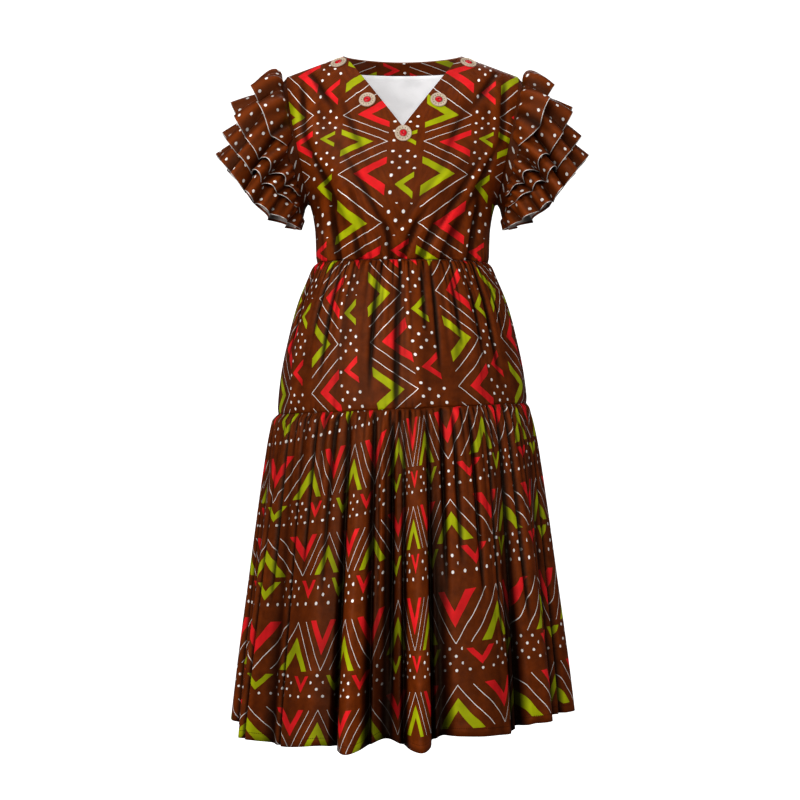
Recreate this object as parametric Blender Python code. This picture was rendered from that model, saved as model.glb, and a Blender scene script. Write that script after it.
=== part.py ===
"""A tiered midi dress with ruffled short sleeves. Every piece is an open, hollow wall of cloth,
in the shape the dress has when it is worn.

The frame is in metres, +Z up. The dress faces -Y, and +X is the viewer's right.
The origin lies midway between the two shoulder seams, at the height where they meet the neckline.
Run it with: blender --background --python part.py
"""

from collections import namedtuple
from math import cos, hypot, pi, radians, sin

import bmesh
import bpy
import numpy as np
from mathutils import Matrix, Vector
from mathutils.bvhtree import BVHTree

FRONT, BACK = -1, 1
LEFT, RIGHT = -1, 1

# Cloth and seams
CLOTH = 0.0016
LINING_CLOTH = 0.0010
SEAM_GAP = 0.0003
HALF_GAP = SEAM_GAP / 2
LAYER_GAP = 0.0004
RUFFLE_GAP = 0.0006

# Bodice
WAIST = -0.357
UNDERARM = -0.258
NECK_HALF_WIDTH = 0.101
V_NECK_DEPTH = 0.138
BACK_NECK_DROP = 0.001
SHOULDER_SLOPE = 0.384
SHOULDER_ROUNDING = 0.040
FACING_SHARE = 0.05
UNDERARM_SHARE = 0.69
FACING_PULL = 0.02
COLUMN_ANGLES = (0, 8, 16, 23, 30, 42, 54, 66, 78, 90)
NECK_COLUMN = 30
ROW_SHARES = (0, FACING_SHARE, 0.125, 0.228, 0.347, 0.469, 0.577, 0.649, UNDERARM_SHARE, 0.84, 1)

# arm_front and arm_back are how far the armhole's edge lies from the side seam's plane.
BodiceRing = namedtuple("BodiceRing", "height half_width front back arm_front arm_back")
BODICE = (
    BodiceRing(-0.3570, 0.1485, 0.100, 0.088, 0.000, 0.000),
    BodiceRing(-0.3080, 0.1500, 0.113, 0.092, 0.000, 0.000),
    BodiceRing(-0.2750, 0.1545, 0.122, 0.096, 0.000, 0.000),
    BodiceRing(-0.2580, 0.1590, 0.125, 0.098, 0.000, 0.000),
    BodiceRing(-0.2480, 0.1615, 0.126, 0.099, 0.030, 0.028),
    BodiceRing(-0.2300, 0.1650, 0.127, 0.100, 0.050, 0.048),
    BodiceRing(-0.2000, 0.1705, 0.127, 0.102, 0.062, 0.062),
    BodiceRing(-0.1600, 0.1790, 0.121, 0.103, 0.066, 0.070),
    BodiceRing(-0.1200, 0.1870, 0.111, 0.104, 0.066, 0.072),
    BodiceRing(-0.0800, 0.1940, 0.103, 0.104, 0.063, 0.070),
    BodiceRing(-0.0400, 0.1990, 0.100, 0.104, 0.060, 0.068),
    BodiceRing(0.0000, 0.2020, 0.100, 0.104, 0.058, 0.066),
)

# start is the height where a panel begins to curve over to the shoulder seam.
ShoulderCurve = namedtuple("ShoulderCurve", "start roundness")
SHOULDER_CURVE = {FRONT: ShoulderCurve(-0.135, 1.5), BACK: ShoulderCurve(-0.090, 1.6)}

# Skirt
TIER_SEAM = -0.606
TIER_SEAM_TILT = 0.045
SEAM_HALF_WIDTH = 0.214
SkirtRing = namedtuple("SkirtRing", "height half_width front back")
MIDDLE_TIER = (
    SkirtRing(-0.6250, 0.2155, 0.168, 0.175),
    SkirtRing(-0.5900, 0.2135, 0.164, 0.171),
    SkirtRing(-0.5560, 0.2098, 0.158, 0.165),
    SkirtRing(-0.5220, 0.2040, 0.151, 0.158),
    SkirtRing(-0.4880, 0.1963, 0.143, 0.149),
    SkirtRing(-0.4540, 0.1880, 0.134, 0.138),
    SkirtRing(-0.4200, 0.1774, 0.124, 0.124),
    SkirtRing(-0.3850, 0.1625, 0.112, 0.106),
    SkirtRing(-0.3680, 0.1550, 0.105, 0.096),
    SkirtRing(-0.3570, 0.1485, 0.100, 0.088),
)
LOWER_TIER = (
    SkirtRing(-1.1500, 0.2830, 0.236, 0.242),
    SkirtRing(-1.0400, 0.2725, 0.226, 0.232),
    SkirtRing(-0.9000, 0.2570, 0.211, 0.217),
    SkirtRing(-0.7640, 0.2420, 0.195, 0.201),
    SkirtRing(-0.6950, 0.2335, 0.186, 0.192),
    SkirtRing(-0.6600, 0.2285, 0.181, 0.187),
    SkirtRing(-0.6260, 0.2215, 0.173, 0.180),
    SkirtRing(-0.6140, 0.2180, 0.169, 0.176),
    SkirtRing(-0.5900, 0.2120, 0.164, 0.171),
)
MIDDLE_COLUMNS, MIDDLE_ROWS = 48, (0, 0.04, 0.15, 0.35, 0.68, 1)
LOWER_COLUMNS, LOWER_ROWS = 84, (0, 0.025, 0.10, 0.25, 0.60, 1)
MIDDLE_GATHERS, LOWER_GATHERS = 24, 42
MIDDLE_GATHER_DEPTH, LOWER_GATHER_DEPTH = 0.0022, 0.0032
GATHER_START, GATHER_FADE = 0.025, 0.16
GATHER_DRIFT, GATHER_DRIFT_TURNS = 25, 5

# around is in degrees from the centre front towards +X, and out is how far the fold stands at the hem.
Fold = namedtuple("Fold", "around spread out")
LOWER_FOLDS = (
    Fold(-88, 9.0, 0.013),
    Fold(-77, 5.0, -0.014),
    Fold(-65, 7.5, 0.018),
    Fold(-52, 6.0, -0.012),
    Fold(-33, 12.0, 0.018),
    Fold(-17.0, 5.5, 0.036),
    Fold(-5.5, 6.0, -0.024),
    Fold(5.5, 5.5, 0.034),
    Fold(13.0, 4.5, -0.020),
    Fold(27, 11.0, 0.014),
    Fold(43, 4.5, -0.020),
    Fold(55, 8.0, 0.017),
    Fold(68, 5.5, -0.014),
    Fold(82, 8.0, 0.016),
    Fold(97, 6.0, -0.015),
    Fold(112, 8.0, 0.020),
    Fold(126, 5.5, -0.018),
    Fold(139, 7.0, 0.024),
    Fold(152, 5.0, -0.018),
    Fold(166, 8.0, 0.030),
    Fold(180, 5.5, -0.022),
    Fold(193, 6.0, 0.028),
    Fold(205, 5.5, -0.018),
    Fold(220, 9.0, 0.020),
    Fold(236, 5.5, -0.018),
    Fold(250, 7.0, 0.022),
    Fold(261, 5.0, -0.013),
)
# The hem hangs lowest on its two front folds and higher on the +X side.
HemPlace = namedtuple("HemPlace", "around height")
HEM = (
    HemPlace(-90, -1.1350),
    HemPlace(-66, -1.1540),
    HemPlace(-46, -1.1560),
    HemPlace(-26, -1.1460),
    HemPlace(-17, -1.1530),
    HemPlace(-6, -1.1360),
    HemPlace(5.5, -1.1490),
    HemPlace(15, -1.1300),
    HemPlace(30, -1.1310),
    HemPlace(41, -1.1340),
    HemPlace(50, -1.1210),
    HemPlace(70, -1.1200),
    HemPlace(90, -1.1197),
    HemPlace(112, -1.1240),
    HemPlace(139, -1.1330),
    HemPlace(152, -1.1280),
    HemPlace(166, -1.1390),
    HemPlace(180, -1.1300),
    HemPlace(193, -1.1400),
    HemPlace(220, -1.1390),
    HemPlace(250, -1.1420),
    HemPlace(270, -1.1350),
)
MIDDLE_FOLDS = (
    Fold(-60, 7.0, 0.004),
    Fold(-24, 6.0, 0.005),
    Fold(-3, 3.5, -0.006),
    Fold(6, 5.0, 0.005),
    Fold(34, 7.0, 0.004),
    Fold(70, 7.0, 0.004),
    Fold(120, 7.0, 0.005),
    Fold(150, 6.0, -0.004),
    Fold(178, 6.0, 0.005),
    Fold(208, 6.0, -0.004),
    Fold(240, 7.0, 0.005),
)

# Sleeve: rings of the plain sleeve under the ruffles, for the +X side. share runs from armhole to cuff.
SleeveRing = namedtuple("SleeveRing", "share top_x top_z bottom_x bottom_z half_depth")
SLEEVE = (
    SleeveRing(0.08, 0.2060, -0.046, 0.1630, -0.2562, 0.067),
    SleeveRing(0.30, 0.2250, -0.074, 0.1670, -0.2630, 0.069),
    SleeveRing(0.58, 0.2450, -0.108, 0.1690, -0.2710, 0.070),
    SleeveRing(0.86, 0.2610, -0.144, 0.1710, -0.2790, 0.070),
    SleeveRing(1.00, 0.2680, -0.162, 0.1725, -0.2840, 0.069),
)
SLEEVE_STEP = 22.5

# Each row is a place on a ruffle's free edge. around is in degrees, 0 at the top of the arm,
# 90 at its front and 180 below it; forward is towards -Y, and the back of the sleeve mirrors the front.
# lift is how far the ruffle bulges off the sleeve before it drops, and wave the height of its waves.
EdgePlace = namedtuple("EdgePlace", "around x z forward lift wave")
Ruffle = namedtuple("Ruffle", "name share phase edge")
RUFFLES = (
    Ruffle("top", 0.08, 0, (
        EdgePlace(0, 0.2500, -0.050, 0.000, 0.036, 0.005),
        EdgePlace(35, 0.2480, -0.079, 0.068, 0.028, 0.008),
        EdgePlace(60, 0.2340, -0.116, 0.100, 0.020, 0.008),
        EdgePlace(78, 0.2150, -0.152, 0.106, 0.012, 0.005),
        EdgePlace(90, 0.1940, -0.166, 0.081, 0.003, 0.000),
    )),
    Ruffle("second", 0.30, 35, (
        EdgePlace(0, 0.2925, -0.089, 0.000, 0.012, 0.006),
        EdgePlace(45, 0.2660, -0.149, 0.080, 0.014, 0.009),
        EdgePlace(90, 0.2255, -0.200, 0.106, 0.013, 0.009),
        EdgePlace(120, 0.1940, -0.229, 0.092, 0.008, 0.005),
        EdgePlace(142.5, 0.1755, -0.246, 0.060, 0.003, 0.000),
    )),
    Ruffle("third", 0.58, 70, (
        EdgePlace(0, 0.3085, -0.135, 0.000, 0.012, 0.006),
        EdgePlace(45, 0.2800, -0.177, 0.073, 0.012, 0.009),
        EdgePlace(90, 0.2370, -0.223, 0.103, 0.010, 0.008),
        EdgePlace(127.5, 0.1980, -0.252, 0.084, 0.006, 0.004),
        EdgePlace(150, 0.1790, -0.265, 0.050, 0.003, 0.000),
    )),
    Ruffle("lowest", 0.86, 105, (
        EdgePlace(0, 0.3230, -0.168, 0.000, 0.014, 0.006),
        EdgePlace(45, 0.2890, -0.210, 0.070, 0.012, 0.009),
        EdgePlace(90, 0.2470, -0.261, 0.100, 0.008, 0.008),
        EdgePlace(135, 0.2000, -0.289, 0.076, 0.004, 0.004),
        EdgePlace(180, 0.1720, -0.300, 0.000, 0.004, 0.001),
    )),
)
RUFFLE_STEP = 7.5
RUFFLE_WAVES = 11
WAVE_DRIFT, WAVE_DRIFT_TURNS = 40, 3
RUFFLE_ROWS = (0, 0.35, 0.7, 1)

# Buttons: turned discs along the neckline, each with a red stone set in its middle.
BUTTON_RADIUS = 0.0140
BUTTON_HEIGHT = 0.0030
BUTTON_FLOOR = 0.0012
STONE_SEAT = 0.0062
STONE_HEIGHT = 0.0036
ROUND_STEPS = 16
ButtonPlace = namedtuple("ButtonPlace", "name x z")
BUTTONS = (
    ButtonPlace("shoulder_left", -0.1090, -0.0160),
    ButtonPlace("neck_left", -0.0590, -0.0905),
    ButtonPlace("centre", 0.0010, -0.1500),
    ButtonPlace("neck_right", 0.0600, -0.0905),
    ButtonPlace("shoulder_right", 0.1120, -0.0160),
)

Finish = namedtuple("Finish", "colour roughness metallic")
FINISHES = {
    "printed_cotton": Finish((0.130, 0.045, 0.012), 0.55, 0.0),
    "dotted_cotton": Finish((0.140, 0.048, 0.013), 0.50, 0.0),
    "white_lining": Finish((0.780, 0.780, 0.800), 0.80, 0.0),
    "button_beige": Finish((0.480, 0.360, 0.290), 0.35, 0.0),
    "stone_red": Finish((0.600, 0.010, 0.015), 0.15, 0.0),
}


def clear_scene():
    for item in list(bpy.data.objects):
        bpy.data.objects.remove(item)


def material(name):
    """A Principled material in one of the finishes."""
    found = bpy.data.materials.get(name)
    if found:
        return found
    made = bpy.data.materials.new(name)
    made.use_nodes = True
    shader = made.node_tree.nodes["Principled BSDF"]
    finish = FINISHES[name]
    shader.inputs["Base Color"].default_value = (*finish.colour, 1)
    shader.inputs["Roughness"].default_value = finish.roughness
    shader.inputs["Metallic"].default_value = finish.metallic
    return made


def smooth_curve(xs, ys, x):
    """ys at x, on a curve through the points that never overshoots them."""
    xs, ys, x = (np.asarray(values, float) for values in (xs, ys, x))
    steps = np.diff(xs)
    rises = np.diff(ys) / steps
    product = rises[:-1] * rises[1:]
    total = rises[:-1] + rises[1:]
    inner = np.where(product > 0, 2 * product / np.where(total == 0, 1, total), 0)
    slopes = np.concatenate([[rises[0]], inner, [rises[-1]]])
    place = np.clip(np.searchsorted(xs, x) - 1, 0, len(steps) - 1)
    share = np.clip((x - xs[place]) / steps[place], 0, 1)
    low, high = ys[place], ys[place + 1]
    hermite_low = (1 + 2 * share) * (1 - share) ** 2 * low
    hermite_high = share**2 * (3 - 2 * share) * high
    bend_low = share * (1 - share) ** 2 * steps[place] * slopes[place]
    bend_high = share**2 * (share - 1) * steps[place] * slopes[place + 1]
    return hermite_low + hermite_high + bend_low + bend_high


def column_at(table, column, key, value):
    """One column of a table at a value of its key column."""
    rows = sorted(table, key=lambda row: getattr(row, key))
    return smooth_curve([getattr(row, key) for row in rows], [getattr(row, column) for row in rows], value)


def unit(vectors):
    return vectors / np.maximum(np.linalg.norm(vectors, axis=-1, keepdims=True), 1e-12)


def grid_normals(grid, closed):
    """The normal at each point of a grid of rows by columns. closed joins the last column to the first."""
    if closed:
        across = np.roll(grid, -1, axis=1) - np.roll(grid, 1, axis=1)
    else:
        across = np.gradient(grid, axis=1)
    down = np.gradient(grid, axis=0)
    return unit(np.cross(down, across))


def cloth_wall(name, outer, inner, closed, finish):
    """A closed wall between two grids of points. Both faces split their quads the same way, so that
    the wall keeps its thickness in every fold."""
    rows, columns = outer.shape[:2]
    mesh = bpy.data.meshes.new(name)
    shape = bmesh.new()
    sheets = [
        [[shape.verts.new(point) for point in row] for row in sheet] for sheet in (outer, inner)
    ]
    spans = range(columns if closed else columns - 1)

    def patch(a, b, c, d):
        shape.faces.new((a, b, c))
        shape.faces.new((a, c, d))

    for row in range(rows - 1):
        for column in spans:
            beside = (column + 1) % columns
            for sheet, turned in zip(sheets, (False, True)):
                corners = (sheet[row][column], sheet[row + 1][column],
                           sheet[row + 1][beside], sheet[row][beside])
                if turned:
                    a, b, c, d = corners
                    corners = (a, d, c, b)
                patch(*corners)
    for column in spans:
        beside = (column + 1) % columns
        for row in (0, rows - 1):
            patch(sheets[0][row][column], sheets[0][row][beside],
                  sheets[1][row][beside], sheets[1][row][column])
    if not closed:
        for row in range(rows - 1):
            for column in (0, columns - 1):
                patch(sheets[0][row][column], sheets[0][row + 1][column],
                      sheets[1][row + 1][column], sheets[1][row][column])
    bmesh.ops.recalc_face_normals(shape, faces=shape.faces)
    shape.to_mesh(mesh)
    shape.free()
    mesh.shade_smooth()
    mesh.set_sharp_from_angle(angle=radians(50))
    mesh.materials.append(material(finish))
    made = bpy.data.objects.new(name, mesh)
    bpy.data.collections["ruffled_dress"].objects.link(made)
    return made


# Bodice


def shoulder_height(x):
    """Height of the shoulder line over a point, rising on towards the neck."""
    reach = hypot(NECK_HALF_WIDTH, SHOULDER_ROUNDING)
    return SHOULDER_SLOPE * (reach - np.hypot(x, SHOULDER_ROUNDING))


def bodice_point(side, across, height):
    """A point on a bodice panel's outer face. across runs from -1 to 1 between its two side edges."""
    half_width = column_at(BODICE, "half_width", "height", height)
    depth = column_at(BODICE, "front" if side == FRONT else "back", "height", height)
    edge = column_at(BODICE, "arm_front" if side == FRONT else "arm_back", "height", height)
    x = half_width * across
    whole_width = half_width / np.sqrt(1 - (edge / depth) ** 2)
    fullness = np.sqrt(np.maximum(1 - (x / whole_width) ** 2, 0))
    curve = SHOULDER_CURVE[side]
    climb = np.clip((height - curve.start) / (shoulder_height(x) - curve.start), 0, 1)
    over = (1 - climb**curve.roundness) ** (1 / curve.roundness)
    return np.stack([x, side * (depth * fullness * over + HALF_GAP), height + 0 * x], axis=-1)


def top_height(side, across):
    """Height of a panel's upper edge: the shoulder seam, or the neckline between the two seams."""
    height = 0.0
    for _ in range(12):
        x = abs(float(column_at(BODICE, "half_width", "height", height)) * across)
        if abs(across) >= NECK_HALF_WIDTH / BODICE[-1].half_width - 1e-6:
            height = float(shoulder_height(x))
        elif side == FRONT:
            height = -V_NECK_DEPTH * (1 - x / NECK_HALF_WIDTH)
        else:
            height = -BACK_NECK_DROP * (1 - (x / NECK_HALF_WIDTH) ** 2)
    return height


def bodice_grid(side):
    """Rows run from the upper edge down to the waist, and columns from -X to +X."""
    angles = [-angle for angle in reversed(COLUMN_ANGLES[1:])] + list(COLUMN_ANGLES)
    columns = []
    for angle in angles:
        across = sin(radians(angle))
        top = top_height(side, across)
        heights = top + (WAIST + HALF_GAP - top) * np.array(ROW_SHARES)
        columns.append(bodice_point(side, across, heights))
    return np.stack(columns, axis=1)


def bodice_normals(side, grid):
    """Normals that lie in the seam's own plane along the side, waist and shoulder seams."""
    normals = grid_normals(grid, closed=False)
    normals *= np.sign(normals[-1, len(COLUMN_ANGLES) - 1, 1] * side)
    underarm = ROW_SHARES.index(UNDERARM_SHARE)
    normals[underarm:, (0, -1), 1] = 0
    normals[-1, :, 2] = 0
    shoulder = np.abs(grid[0, :, 0]) >= NECK_HALF_WIDTH - 1e-4
    normals[0, shoulder, 1] = 0
    return unit(normals)


def build_bodice(side, name):
    outer = bodice_grid(side)
    normals = bodice_normals(side, outer)
    inner = outer - CLOTH * normals
    cloth_wall(name, outer, inner, False, "printed_cotton")
    return outer, inner, normals


def build_back_lining(inner, normals):
    """The printed neck facing and the white lining below it, both laid inside the back bodice."""
    laid = inner - LAYER_GAP * normals
    middle = len(COLUMN_ANGLES) - 1
    neck = COLUMN_ANGLES.index(NECK_COLUMN)
    facing_outer = laid[:2, middle - neck:middle + neck + 1].copy()
    facing_normals = normals[:2, middle - neck:middle + neck + 1]
    facing_outer[1] += (facing_outer[0] - facing_outer[1]) * FACING_PULL
    cloth_wall("neck_facing_back", facing_outer, facing_outer - LINING_CLOTH * facing_normals,
               False, "printed_cotton")
    lining_outer = laid[1:, 1:-1]
    lining_normals = normals[1:, 1:-1]
    cloth_wall("bodice_lining_back", lining_outer, lining_outer - LINING_CLOTH * lining_normals,
               False, "white_lining")


# Skirt


def tier_seam_height(x):
    return TIER_SEAM + TIER_SEAM_TILT * x


def folds_at(folds, angles):
    """How far the folds stand out together, each one a soft ridge or trough round its own angle."""
    total = np.zeros_like(angles)
    for fold in folds:
        away = (angles - fold.around + 180) % 360 - 180
        total += fold.out * np.exp(-2 * (away / fold.spread) ** 2)
    return total


def skirt_ring(table, angles, heights, proud):
    """Points on the skirt's outer face, at angles in degrees from the centre front, moved out by proud."""
    turn = np.radians(angles)
    half_width = column_at(table, "half_width", "height", heights)
    front = column_at(table, "front", "height", heights)
    back = column_at(table, "back", "height", heights)
    depth = np.where(np.cos(turn) > 0, front, back)
    outward = unit(np.stack([np.sin(turn) / half_width, -np.cos(turn) / depth, 0 * turn], axis=-1))
    flat = np.stack([half_width * np.sin(turn), -depth * np.cos(turn), heights + 0 * turn], axis=-1)
    return flat + outward * proud[:, None]


def half_turn_angles(side, columns):
    """Angles of one half of the skirt, from one side seam to the other."""
    start = -90 if side == FRONT else 90
    return start + np.linspace(0, 180, columns + 1)


def skirt_grid(angles, table, shares, high, low, folds, gathers, gather_depth, grow):
    """Rows from the upper seam down, between the heights high and low of its two edges."""
    drift = GATHER_DRIFT * np.sin(np.radians(angles * GATHER_DRIFT_TURNS))
    gather = np.cos(np.radians(angles * gathers + drift))
    rows = []
    for share in shares:
        fade = min(share / GATHER_START, 1) * np.exp(-share / GATHER_FADE)
        proud = gather_depth * fade * gather + folds_at(folds, angles) * grow(share)
        rows.append(skirt_ring(table, angles, high + (low - high) * share, proud))
    return np.stack(rows)


def build_skirt_half(name, side, grid, top, bottom):
    """A half of a tier. Its seam edges are flat, so that they meet their neighbours face to face."""
    normals = grid_normals(grid, closed=False)
    normals[:, :, 2] = 0
    normals[:, (0, -1), 1] = 0
    normals = unit(normals)
    middle = len(grid[0]) // 2
    normals *= np.sign(normals[-1, middle, 1] * side)
    grid[:, (0, -1), 1] = side * HALF_GAP
    inner = grid - CLOTH * normals
    for sheet in (grid, inner):
        sheet[0, :, 2] = top(sheet[0, :, 0])
        if bottom is not None:
            sheet[-1, :, 2] = bottom(sheet[-1, :, 0])
    cloth_wall(name, grid, inner, False, "printed_cotton")


def seam_half_width(angles):
    return SEAM_HALF_WIDTH * np.sin(np.radians(angles))


def build_middle_tier():
    def top(x):
        return WAIST - HALF_GAP + 0 * x

    def low_edge(x):
        return tier_seam_height(x) + HALF_GAP

    for side, name in ((FRONT, "skirt_middle_front"), (BACK, "skirt_middle_back")):
        angles = half_turn_angles(side, MIDDLE_COLUMNS)
        across = seam_half_width(angles)
        grid = skirt_grid(angles, MIDDLE_TIER, MIDDLE_ROWS, top(across), low_edge(across), MIDDLE_FOLDS,
                          MIDDLE_GATHERS, MIDDLE_GATHER_DEPTH, lambda share: sin(pi * share) ** 0.7)
        build_skirt_half(name, side, grid, top, low_edge)


def build_lower_tier():
    def top(x):
        return tier_seam_height(x) - HALF_GAP

    for side, name in ((FRONT, "skirt_lower_front"), (BACK, "skirt_lower_back")):
        angles = half_turn_angles(side, LOWER_COLUMNS)
        high = top(seam_half_width(angles))
        hem = column_at(HEM, "height", "around", angles)
        grid = skirt_grid(angles, LOWER_TIER, LOWER_ROWS, high, hem, LOWER_FOLDS,
                          LOWER_GATHERS, LOWER_GATHER_DEPTH, lambda share: share**0.85)
        grid[0] = skirt_ring(MIDDLE_TIER, angles, high, 0 * angles)
        build_skirt_half(name, side, grid, top, None)


# Sleeves, built for the +X side and turned over for the other


def armhole_ring(panels):
    """The armhole's outer and inner points, and the normals there, from the top of the arm round by
    the front to the underarm and up the back."""
    last = ROW_SHARES.index(UNDERARM_SHARE)
    rings = []
    for kind in range(3):
        front, back = panels[FRONT][kind], panels[BACK][kind]
        ends = [(front[row, -1] + back[row, -1]) / 2 for row in (0, last)]
        rings.append(np.array([ends[0], *front[1:last, -1], ends[1], *back[last - 1:0:-1, -1]]))
    outer, inner, normals = rings
    normals = unit(normals)
    along = np.roll(outer, -1, axis=0) - np.roll(outer, 1, axis=0)
    way = unit(np.cross(normals, along))
    return outer + SEAM_GAP * way, inner + SEAM_GAP * way


def sleeve_ellipse(around, share):
    """Points on the plain sleeve's outer face, and the way out of it."""
    turn = np.radians(around)
    top = np.stack([column_at(SLEEVE, "top_x", "share", share), 0 * share,
                    column_at(SLEEVE, "top_z", "share", share)], axis=-1)
    bottom = np.stack([column_at(SLEEVE, "bottom_x", "share", share), 0 * share,
                       column_at(SLEEVE, "bottom_z", "share", share)], axis=-1)
    depth = column_at(SLEEVE, "half_depth", "share", share)
    middle, upward = (top + bottom) / 2, (top - bottom) / 2
    height = np.linalg.norm(upward)
    forward = np.array([0, -1, 0])
    points = middle + np.cos(turn)[:, None] * upward + np.sin(turn)[:, None] * depth * forward
    outward = np.cos(turn)[:, None] * upward / height**2 + np.sin(turn)[:, None] * forward / depth
    return points, unit(outward)


def build_sleeve(name, hand, armhole):
    around = np.arange(0, 360, SLEEVE_STEP)
    outer = np.stack([armhole[0]] + [sleeve_ellipse(around, np.float64(ring.share))[0] for ring in SLEEVE])
    normals = grid_normals(outer, closed=True)
    normals *= np.sign(normals[1, 0, 2])
    inner = outer - CLOTH * normals
    inner[0] = armhole[1]
    turned = np.array([hand, 1, 1])
    cloth_wall(name, outer * turned, inner * turned, True, "printed_cotton")


def ruffle_grid(ruffle, around):
    """Outer face of a ruffle, which rises from its seam on the sleeve and bends over to its free edge,
    and the height of the waves along that edge."""
    seam, outward = sleeve_ellipse(around, np.float64(ruffle.share))
    seam = seam + outward * (RUFFLE_GAP + CLOTH)
    turn = np.abs((around + 180) % 360 - 180)
    forward = np.where((around % 360) > 180, -1, 1)
    edge = np.stack([column_at(ruffle.edge, "x", "around", turn),
                     -forward * column_at(ruffle.edge, "forward", "around", turn),
                     column_at(ruffle.edge, "z", "around", turn)], axis=-1)
    lift = column_at(ruffle.edge, "lift", "around", turn)
    wave = column_at(ruffle.edge, "wave", "around", turn)
    bend = seam + outward * lift[:, None]
    drift = WAVE_DRIFT * np.sin(np.radians(around * WAVE_DRIFT_TURNS))
    swing = np.cos(np.radians(around * RUFFLE_WAVES + ruffle.phase + drift))
    rows = []
    for share in RUFFLE_ROWS:
        rows.append((1 - share) ** 2 * seam + 2 * share * (1 - share) * bend + share**2 * edge)
    grid = np.stack(rows)
    return grid, wave * swing


def build_ruffle(name, hand, ruffle):
    whole = ruffle.edge[-1].around == 180
    if whole:
        around = np.arange(0, 360, RUFFLE_STEP)
    else:
        last = ruffle.edge[-1].around
        around = np.linspace(-last, last, 2 * round(last / RUFFLE_STEP) + 1)
    grid, swing = ruffle_grid(ruffle, around)
    normals = grid_normals(grid, whole)
    normals *= np.sign(normals[1, 0 if whole else len(around) // 2, 2])
    shares = np.array(RUFFLE_ROWS)[:, None, None]
    outer = grid + normals * swing[None, :, None] * shares
    normals = grid_normals(outer, whole)
    normals *= np.sign(normals[1, 0 if whole else len(around) // 2, 2])
    seam_normals = sleeve_ellipse(around, np.float64(ruffle.share))[1]
    normals[0] = seam_normals
    turned = np.array([hand, 1, 1])
    cloth_wall(name, outer * turned, (outer - CLOTH * normals) * turned, whole, "dotted_cotton")


# Buttons


def turned_piece(name, profile, finish, matrix):
    """A solid of revolution from a profile of (radius, height), top of the axis first."""
    mesh = bpy.data.meshes.new(name)
    shape = bmesh.new()
    points = [shape.verts.new((radius, 0, height)) for radius, height in profile]
    for low, high in zip(points, points[1:]):
        shape.edges.new((low, high))
    bmesh.ops.spin(shape, geom=shape.verts[:] + shape.edges[:], axis=(0, 0, 1), cent=(0, 0, 0),
                   steps=ROUND_STEPS, angle=2 * pi)
    bmesh.ops.remove_doubles(shape, verts=shape.verts, dist=1e-6)
    bmesh.ops.recalc_face_normals(shape, faces=shape.faces)
    shape.to_mesh(mesh)
    shape.free()
    mesh.shade_smooth()
    mesh.set_sharp_from_angle(angle=radians(40))
    mesh.materials.append(material(finish))
    made = bpy.data.objects.new(name, mesh)
    made.matrix_world = matrix
    bpy.data.collections["ruffled_dress"].objects.link(made)


def button_seat(place, cloth):
    """Where a button lies on the front bodice, as a matrix whose Z axis points out of the cloth."""
    def surface(x, z):
        across = x / column_at(BODICE, "half_width", "height", z)
        return Vector([float(value) for value in bodice_point(FRONT, across, np.float64(z))])

    step = BUTTON_RADIUS * 0.6
    across = surface(place.x + step, place.z) - surface(place.x - step, place.z)
    upward = surface(place.x, place.z + step) - surface(place.x, place.z - step)
    outward = across.cross(upward).normalized()
    x_axis = across.normalized()
    y_axis = outward.cross(x_axis)
    above = surface(place.x, place.z) + outward * BUTTON_RADIUS
    falls = []
    for radius in np.linspace(0, BUTTON_RADIUS, 12):
        for turn in np.linspace(0, 2 * pi, 3 * ROUND_STEPS, endpoint=False):
            start = above + x_axis * radius * cos(turn) + y_axis * radius * sin(turn)
            fall = cloth.ray_cast(start, -outward)[3]
            if fall is not None:
                falls.append(fall)
    middle = above - outward * (min(falls) - LAYER_GAP)
    turn = Matrix((x_axis, y_axis, outward)).transposed().to_4x4()
    return Matrix.Translation(middle) @ turn


def build_buttons():
    rim = BUTTON_HEIGHT * 0.35
    disc = ((0, BUTTON_FLOOR), (STONE_SEAT, BUTTON_FLOOR), (STONE_SEAT, BUTTON_HEIGHT),
            (BUTTON_RADIUS - rim, BUTTON_HEIGHT), (BUTTON_RADIUS, BUTTON_HEIGHT - rim),
            (BUTTON_RADIUS - rim, 0), (0, 0))
    girdle = STONE_SEAT - LAYER_GAP
    foot = BUTTON_FLOOR + SEAM_GAP
    stone = ((0, foot + STONE_HEIGHT), (girdle * 0.55, foot + STONE_HEIGHT * 0.9),
             (girdle, foot + STONE_HEIGHT * 0.5), (girdle, foot), (0, foot))
    shape = bmesh.new()
    shape.from_mesh(bpy.data.objects["bodice_front"].data)
    cloth = BVHTree.FromBMesh(shape)
    shape.free()
    for place in BUTTONS:
        seat = button_seat(place, cloth)
        turned_piece("button_" + place.name, disc, "button_beige", seat)
        turned_piece("stone_" + place.name, stone, "stone_red", seat)


clear_scene()
bpy.context.scene.collection.children.link(bpy.data.collections.new("ruffled_dress"))
bodice = {side: build_bodice(side, name) for side, name in ((FRONT, "bodice_front"), (BACK, "bodice_back"))}
build_back_lining(bodice[BACK][1], bodice[BACK][2])
build_middle_tier()
build_lower_tier()
arm = armhole_ring(bodice)
for hand, side_name in ((LEFT, "left"), (RIGHT, "right")):
    build_sleeve("sleeve_" + side_name, hand, arm)
    for tier in RUFFLES:
        build_ruffle("ruffle_" + tier.name + "_" + side_name, hand, tier)
build_buttons()
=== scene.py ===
"""The looks of a tiered cotton dress with ruffled short sleeves, on the frame that its solids give.

Metres, +Z up. The dress faces -Y, +X is the viewer's right, and the origin lies between the shoulders.
"""

from collections import namedtuple
from math import pi, radians, sin, sqrt

import bpy
import numpy as np
from mathutils import Matrix, Vector


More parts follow.
